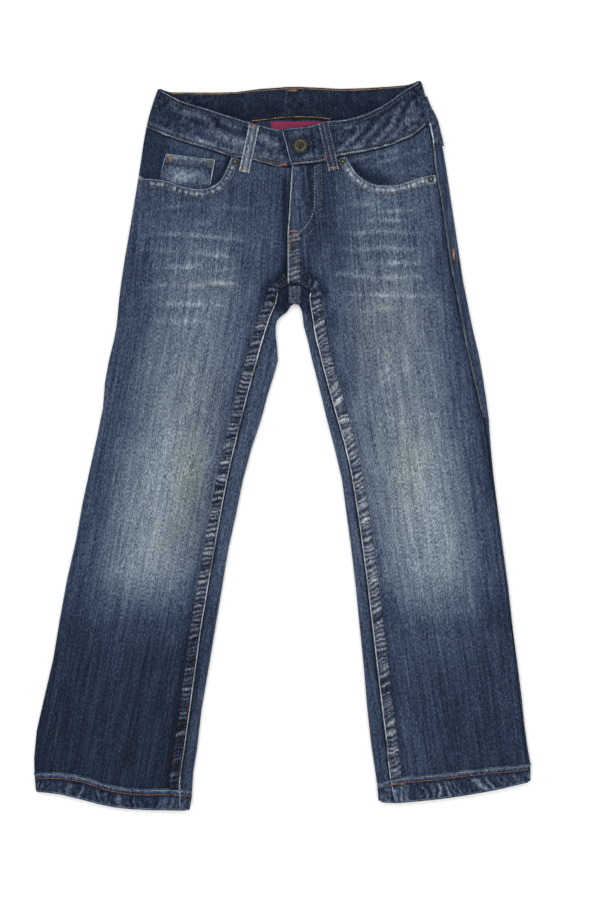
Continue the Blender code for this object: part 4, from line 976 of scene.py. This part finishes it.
rolled_edge("edge_hem_left", [(37, 790.4), (45, 791), (59, 792.6), (72, 795.6), (82, 798), (92, 800.6),
            (102, 803.2), (116, 805.8), (130, 807.4), (145, 808.2), (158, 808.6), (170, 808.8), (186, 808.9)],
            (104, 50), width=-0.4, seed=15.0)
rolled_edge("edge_hem_right", [(381, 800.2), (386, 801), (398, 801.4), (411, 800.4), (424, 799.2),
            (437, 797.8), (450, 796.1), (463, 794.2), (476, 792), (489, 789.7), (501, 787.2), (512, 784.6),
            (522, 782.2), (528, 780.6)], (100, 50), width=-0.4, seed=16.0)
rolled_edge("edge_hem_top_left", [(u, v + 0.5) for u, v in HEM_LEFT], (112, 70), width=0.5, seed=19.0)
rolled_edge("edge_hem_top_right", [(u, v + 0.5) for u, v in HEM_RIGHT], (112, 70), width=0.5, seed=20.0)
rolled_edge("edge_inseam_hem_left", [(180.6, 777), (180.4, 790), (180, 806)], (150, 30), width=0.46,
            seed=21.0)
rolled_edge("edge_inseam_hem_right", [(390.4, 777), (392.2, 788), (394.6, 798.6)], (140, 30), width=-0.46,
            seed=22.0)
rolled_edge("edge_back_band_low", [(246, 121.9), (262, 119.9), (280, 118.5), (300, 118.1), (320, 119),
            (338, 121)], (34, 22), width=0.8, seed=17.0)
rolled_edge("edge_back_middle", [(294.5, 117.4), (294.5, 121), (294.5, 124)], (30, 20), width=0.8, seed=18.0)

# %% [markdown]
# ## Thread
# Jeans are sewn with thick copper thread. Each stitch is a small rounded bead a little over 2 mm long that
# sinks at its ends. One long curve would be simpler, but nothing would show where a stitch ends. Where the
# seam is worn the thread has gone brown or olive.
# %% Thread
def thread(name, colour):
    made, tree, shader = new_material(name)
    where = joined(tree, "ShaderNodeTexCoord")
    worn = pattern(tree, where.outputs["Object"], (170, 170, 170), 2.0)
    twist = pattern(tree, where.outputs["Object"], (2600, 1500, 2600), 1.0)
    level = sum_of(tree, sum_of(tree, worn, 2.2, "MULTIPLY"), sum_of(tree, twist, 0.55, "MULTIPLY_ADD", 0.5))
    two_tone(tree, shader, level, [c * 0.45 for c in colour], [min(255, c * 1.3) for c in colour])
    shader.inputs["Roughness"].default_value = 0.6
    shader.inputs["Sheen Weight"].default_value = 0.2
    return made


copper = thread("copper_thread", (150, 86, 42))
gold = thread("gold_thread", (140, 104, 52))
rust = thread("rust_thread", (146, 92, 54))
brown = thread("worn_brown_thread", (100, 78, 68))
tan = thread("tan_thread", (152, 110, 66))
mustard = thread("mustard_thread", (126, 106, 52))
russet = thread("russet_thread", (92, 52, 46))
umber = thread("umber_thread", (96, 82, 58))
olive = thread("olive_thread", (108, 104, 78))
olive_dark = thread("dark_olive_thread", (66, 72, 58))
pale = thread("pale_thread", (150, 152, 150))


THREAD_LIFT = 0.06  # mm from the cloth to the middle of a stitch
THREAD_HIGH = 0.42  # mm


def stitches(name, line, colour, length=2.2, gap=1.0, width=0.55, skip=0.0):
    """A row of stitches along a line of places. skip leaves out the worn ones."""
    places = run_line(line, length + gap)
    bm = bmesh.new()
    for i, ((u0, v0), (u1, v1)) in enumerate(zip(places, places[1:])):
        if skip and 0.5 + 0.5 * uneven_at(i * 0.37, line[0][0], 1.0) * 1.6 < skip:
            continue
        ends = []
        for reach in (-0.3, 0.3):
            u, v = (u0 + u1) / 2 + (u1 - u0) * reach, (v0 + v1) / 2 + (v1 - v0) * reach
            ends.append(place(u, v, height_at(seams_top, u, v)))
        start, end = ends
        turn = (end - start).to_track_quat("X", "Z").to_matrix().to_4x4()
        middle = (start + end) / 2 + Vector((0, 0, THREAD_LIFT / 1000))
        size = Matrix.Diagonal((length / 1000, width / 1000, THREAD_HIGH / 1000, 1))
        bmesh.ops.create_uvsphere(bm, u_segments=6, v_segments=5, radius=0.5,
                                  matrix=Matrix.Translation(middle) @ turn @ size)
    made = as_piece(name, bm)
    made.data.materials.append(colour)
    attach(made, "root")
    return made


everything = [o for o in bpy.data.objects if o.type == "MESH" and not o.hide_render]
seams_top = surface_of([o for o in everything if not o.name.startswith("edge_")])
stitches("thread_waist_left", side_of(WAIST_SEAM_LEFT, 2.6), brown)
stitches("thread_waist_orange", [(252, 157.6), (262, 160), (272, 162.4), (279, 164)], copper)
stitches("thread_waist_right", side_of(WAIST_SEAM_RIGHT, 2.6), brown)
stitches("thread_band_left", [(166, 98), (179, 105), (193, 110), (208, 114.4), (224, 119.4), (240, 124.6),
         (256, 129), (270, 132.8)], olive)
stitches("thread_band_right", [(331, 126), (344, 125), (360, 121.2), (377, 114), (392, 105), (402, 97.6),
         (411, 92)], olive)
stitches("thread_back_top", [(171, 93.3), (190, 94), (206, 94), (236, 93.1), (262, 90.3), (288, 88.9),
         (313, 88.9), (340, 90.2), (366, 89.5), (392, 87.7), (405, 86.6)], gold, length=3.8, gap=-0.5,
         width=1.05)
stitches("thread_back_low", [(251.5, 121), (262, 119.8), (274, 118.3), (287, 117), (300, 116.8), (313.5, 117),
         (324, 118.2), (334, 119.6)], gold, length=3.8, gap=-0.5, width=1.05)
print("threads of the waist done")

# %% [markdown]
# ## Seam threads of the fly, pockets, inseams and hems
# The fly has a curved double row, the inseams a double row each, and the hems one row near the fold. A
# painted line would look flat in low light, so each row is real stitches. Where a seam ends or carries load
# there is a bartack, a close zigzag block of the same thread.
# %% More thread
stitches("thread_fly_outer", [(321.6, 166), (321.4, 190), (320.8, 206), (318.6, 220), (312, 231),
         (303, 238.4)], olive, width=0.7, skip=0.2)
stitches("thread_fly_inner", [(314.8, 166), (314.8, 190), (314.4, 204), (312, 216), (306, 226), (299.6, 233)],
         pale, length=2.7, gap=0.5, width=0.75, skip=0.15)
stitches("thread_mouth_left_a", side_of(MOUTH_LEFT, -3.4), brown)
stitches("thread_mouth_left_b", side_of(MOUTH_LEFT, -8.2, 1), brown)
stitches("thread_mouth_right_a", side_of(MOUTH_RIGHT, -3.4), brown)
stitches("thread_mouth_right_b", side_of(MOUTH_RIGHT, -8.2, 0, 1), brown)
stitches("thread_inseam_left_a", side_of(LEFT_INSEAM[2:], -2.4), russet, width=0.65)
stitches("thread_inseam_left_b", side_of(LEFT_INSEAM[2:], -8.6), russet, width=0.65)
stitches("thread_inseam_right_a", side_of(RIGHT_INSEAM[2:], 2.6), russet, width=0.65)
stitches("thread_inseam_right_b", side_of(RIGHT_INSEAM[2:], 9.2), russet, width=0.65)
stitches("thread_box_a", [(289.6, 236.8), (293.6, 236.2), (298, 236.4)], mustard, length=3.4, gap=-0.4)
stitches("thread_box_b", [(298, 230.6), (298.2, 235), (298, 241)], mustard, length=3.4, gap=-0.4)
stitches("thread_box_c", [(289.8, 243.4), (293, 240.8), (297.8, 240.2)], mustard, length=3.0, gap=-0.3)
stitches("thread_box_d", [(289.6, 240.4), (289.4, 244), (289.4, 248.4)], mustard, length=3.0, gap=-0.3)
stitches("thread_arch_left", [(275.4, 292.6), (278.6, 287), (282.6, 283.4), (287.6, 280.8)], brown)
stitches("thread_arch_right", [(301.6, 280.8), (306.8, 283.4), (311, 287.6), (313.2, 293)], brown)
stitches("thread_rise_a", [(290.6, 236), (290.6, 258), (290.6, 281)], umber)
stitches("thread_rise_b", [(298, 236), (298, 258), (298, 281)], umber)
stitches("thread_crotch_a", [(290.6, 287), (290.6, 293), (290.6, 300)], mustard, gap=0.6)
stitches("thread_crotch_b", [(298.2, 287), (298.2, 293), (298.2, 300)], mustard, gap=0.6)
stitches("thread_hem_left", [(u, v + 4.6) for u, v in HEM_LEFT[:-2]], rust, length=3.1, gap=0.1, width=0.7)
stitches("thread_hem_left_end", [(171, 794.2), (181, 795), (190.6, 795.6)], gold, length=3.1, gap=0.1,
         width=0.85)
stitches("thread_hem_right", [(u, v + 4.6) for u, v in HEM_RIGHT[1:]], rust, length=3.1, gap=0.1, width=0.7)
stitches("thread_coin_a", [(168, 163.4), (180, 164.4), (192, 166), (206, 168)], brown)
stitches("thread_coin_b", [(167.4, 158.2), (178, 159), (190, 160.4), (206, 162.6)], brown)
for node, (top, low) in LOOPS.items():
    for side in (-2.7, 2.7):
        shifted = side_of([top, low], side)
        (u0, v0), (u1, v1) = shifted
        run = [(u0 + (u1 - u0) * t, v0 + (v1 - v0) * t) for t in (0.04, 0.35, 0.65, 0.9)]
        stitches(f"thread_{node}_{'a' if side < 0 else 'b'}", run, brown)


ZIGZAG = 0.75  # mm from row to row


def bartack(name, u, v, wide, high, colour):
    """A close zigzag block of thread."""
    across = wide > high
    rows = max(3, int(round(max(wide, high) * STEP / ZIGZAG)))
    bm = bmesh.new()
    for k in range(rows):
        t = (k + 0.5) / rows - 0.5
        cu, cv = (u + t * wide, v) if across else (u, v + t * high)
        span = (high if across else wide) * STEP / 1000
        z = height_at(seams_top, cu, cv) + 0.12
        lean = 90 + 14 * (-1) ** k if across else 12 * (-1) ** k
        turn = Matrix.Rotation(math.radians(lean), 4, "Z")
        size = Matrix.Diagonal((span, 0.8 / 1000, 0.6 / 1000, 1))
        bmesh.ops.create_uvsphere(bm, u_segments=6, v_segments=5, radius=0.5,
                                  matrix=Matrix.Translation(place(cu, cv, z)) @ turn @ size)
    made = as_piece(name, bm, smooth=False)
    made.data.materials.append(colour)
    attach(made, "root")
    return made


bartack("bar_waist_end", 283, 165.0, 8, 3.0, copper)
bartack("bar_button_side", 325, 156.8, 2.4, 4.4, copper)
bartack("bar_fly", 293, 231.4, 8, 2.4, copper)
bartack("bar_fly_low", 289.6, 246, 2.2, 6.5, mustard)
bartack("bar_coin", 170.4, 158.4, 3.6, 8.2, copper)
bartack("bar_coin_olive", 210.6, 163.4, 8.4, 8.8, olive_dark)
bartack("bar_outseam", 453.4, 254.6, 3.0, 11, tan)
bartack("bar_back_middle", 292.6, 90.6, 9, 2.4, gold)
bartack("bar_loop_left_low", 244.6, 169.6, 8.6, 2.2, gold)
bartack("bar_loop_right_low", 333.6, 168.2, 8.6, 2.2, gold)
bartack("bar_loop_left_top", 253.8, 127.6, 8, 2.0, copper)
bartack("bar_inseam_right", 398.4, 783.6, 12, 2.0, gold)

# %% [markdown]
# ## Button and rivets
# The waist button is a cast cap in dark bronze with a raised rim and short ribs around it. The rivets are
# small domes. Cap and domes are spun from a profile, as on a lathe, and replace their coarser solids. The
# ribs are small stretched balls.
# %% Hard pieces
def old_bronze(name, colour, bright):
    made, tree, shader = new_material(name)
    where = joined(tree, "ShaderNodeTexCoord")
    tarnish = pattern(tree, where.outputs["Object"], (420, 420, 420), 4.0, 0.6)
    two_tone(tree, shader, sum_of(tree, tarnish, 1.8, "MULTIPLY_ADD", 0.4), colour, bright)
    rough = sum_of(tree, tarnish, 0.5, "MULTIPLY_ADD", 0.45)
    tree.links.new(rough, shader.inputs["Roughness"])
    shader.inputs["Metallic"].default_value = 0.85
    return made


bronze = old_bronze("old_bronze_metal", (24, 25, 23), (84, 80, 68))
bronze_light = old_bronze("rubbed_bronze_metal", (84, 80, 70), (190, 184, 166))


def turned(profile, sides):
    """A profile of radius and height, spun round Z."""
    bm = bmesh.new()
    ring = [bm.verts.new((radius / 1000, 0, height / 1000)) for radius, height in profile]
    edges = [bm.edges.new(pair) for pair in zip(ring, ring[1:])]
    bmesh.ops.spin(bm, geom=ring + edges, axis=(0, 0, 1), cent=(0, 0, 0), angle=2 * math.pi, steps=sides,
                   use_merge=True)
    bmesh.ops.remove_doubles(bm, verts=bm.verts[:], dist=1e-6)
    bmesh.ops.recalc_face_normals(bm, faces=bm.faces[:])
    return bm


def hard_piece(name, bm, u, v, z, material, *nodes):
    bmesh.ops.translate(bm, verts=bm.verts[:], vec=place(u, v, z))
    made = as_piece(name, bm)
    made.data.materials.append(material)
    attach(made, "root")
    if nodes:
        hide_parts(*nodes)
    return made


low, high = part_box("button")
button_at = grid_of((low + high) / 2)
button_z = low.z * 1000
cap = [(0, 0), (3.4, 0), (3.6, 0.5), (7.3, 0.6), (7.9, 0.95), (8.1, 1.4), (7.9, 1.9), (7.4, 2.2), (6.9, 2.2),
       (6.5, 1.9), (6.2, 1.65), (3.2, 1.6), (2.8, 1.85), (2.2, 2.1), (1.2, 2.25), (0, 2.3)]
hard_piece("button_cap", turned(cap, 48), *button_at, button_z, bronze, "button")
bm = bmesh.new()
for k in range(22):
    turn = Matrix.Rotation(2 * math.pi * k / 22, 4, "Z")
    size = Matrix.Diagonal((2.3 / 1000, 0.75 / 1000, 0.6 / 1000, 1))
    bmesh.ops.create_uvsphere(bm, u_segments=6, v_segments=5, radius=0.5,
                              matrix=turn @ Matrix.Translation((5.0 / 1000, 0, 1.7 / 1000)) @ size)
hard_piece("button_ribs", bm, *button_at, button_z, bronze_light)
dome = [(0, 0), (2.9, 0), (3.0, 0.3), (2.8, 0.6), (2.2, 0.75), (1.5, 0.72), (1.3, 1.0), (0.8, 1.35), (0, 1.5)]
for number in (1, 2, 3):
    low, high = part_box(f"rivet_{number}")
    at = grid_of((low + high) / 2)
    hard_piece(f"rivet_dome_{number}", turned(dome, 28), *at, low.z * 1000, bronze, f"rivet_{number}")
    tip = turned([(0, 1.22), (0.9, 1.22), (0.8, 1.45), (0, 1.62)], 16)
    hard_piece(f"rivet_tip_{number}", tip, *at, low.z * 1000, bronze_light)
print("button at", [round(x, 1) for x in button_at], "height", round(button_z, 2), "mm")

# %% [markdown]
# ## Floor, light and camera
# The jeans lie on a white floor under even light, so there are almost no shadows: a bright sky all round
# and one large soft lamp from the upper left. The camera looks straight down. It stands 2.6 m away, so that
# nothing leans outwards, and its lens frames 600 by 900 steps of the grid.
# %% Floor, light and camera
FLOOR_Z = -0.0004  # a little below the cloth, so that the two never flicker
SENSOR = 36  # mm
CAMERA_HEIGHT = 2.6
floor_bm = bmesh.new()
bmesh.ops.create_grid(floor_bm, x_segments=1, y_segments=1, size=3.0)
bmesh.ops.translate(floor_bm, verts=floor_bm.verts[:], vec=(0, 0, FLOOR_Z))
floor = as_piece("floor", floor_bm, smooth=False)
paper, tree, shader = new_material("pale_floor")
shader.inputs["Base Color"].default_value = (0.93, 0.93, 0.93, 1)
shader.inputs["Roughness"].default_value = 0.9
shader.inputs["Specular IOR Level"].default_value = 0.1
floor.data.materials.append(paper)

world = bpy.data.worlds.new("soft_room")
bpy.context.scene.world = world
world.use_nodes = True
world.node_tree.nodes["Background"].inputs["Color"].default_value = (1, 1, 1, 1)
world.node_tree.nodes["Background"].inputs["Strength"].default_value = 1.25

lamp_data = bpy.data.lights.new("soft_lamp", "AREA")
lamp_data.shape = "SQUARE"
lamp_data.size = 1.2
lamp_data.energy = 9
lamp = bpy.data.objects.new("soft_lamp", lamp_data)
lamp.location = (-1.0, 1.3, 1.9)
lamp.rotation_euler = (Vector((0, 0, 0)) - Vector(lamp.location)).to_track_quat("-Z", "Y").to_euler()
bpy.context.scene.collection.objects.link(lamp)

camera_data = bpy.data.cameras.new("camera")
camera = bpy.data.objects.new("camera", camera_data)
bpy.context.scene.collection.objects.link(camera)
aim = place(300, 450)
camera.location = (aim.x, aim.y, CAMERA_HEIGHT)
camera_data.sensor_width = SENSOR
camera_data.lens = SENSOR * (CAMERA_HEIGHT - 0.003) / (900 * STEP / 1000)
bpy.context.scene.camera = camera
bpy.context.scene.view_settings.view_transform = "Standard"
bpy.context.scene.view_settings.look = "None"
print("lens", round(camera_data.lens, 1), "mm")

# %% [markdown]
# ## End
# Fine cloth can grow past the solid that it stands for.
print("scene built")
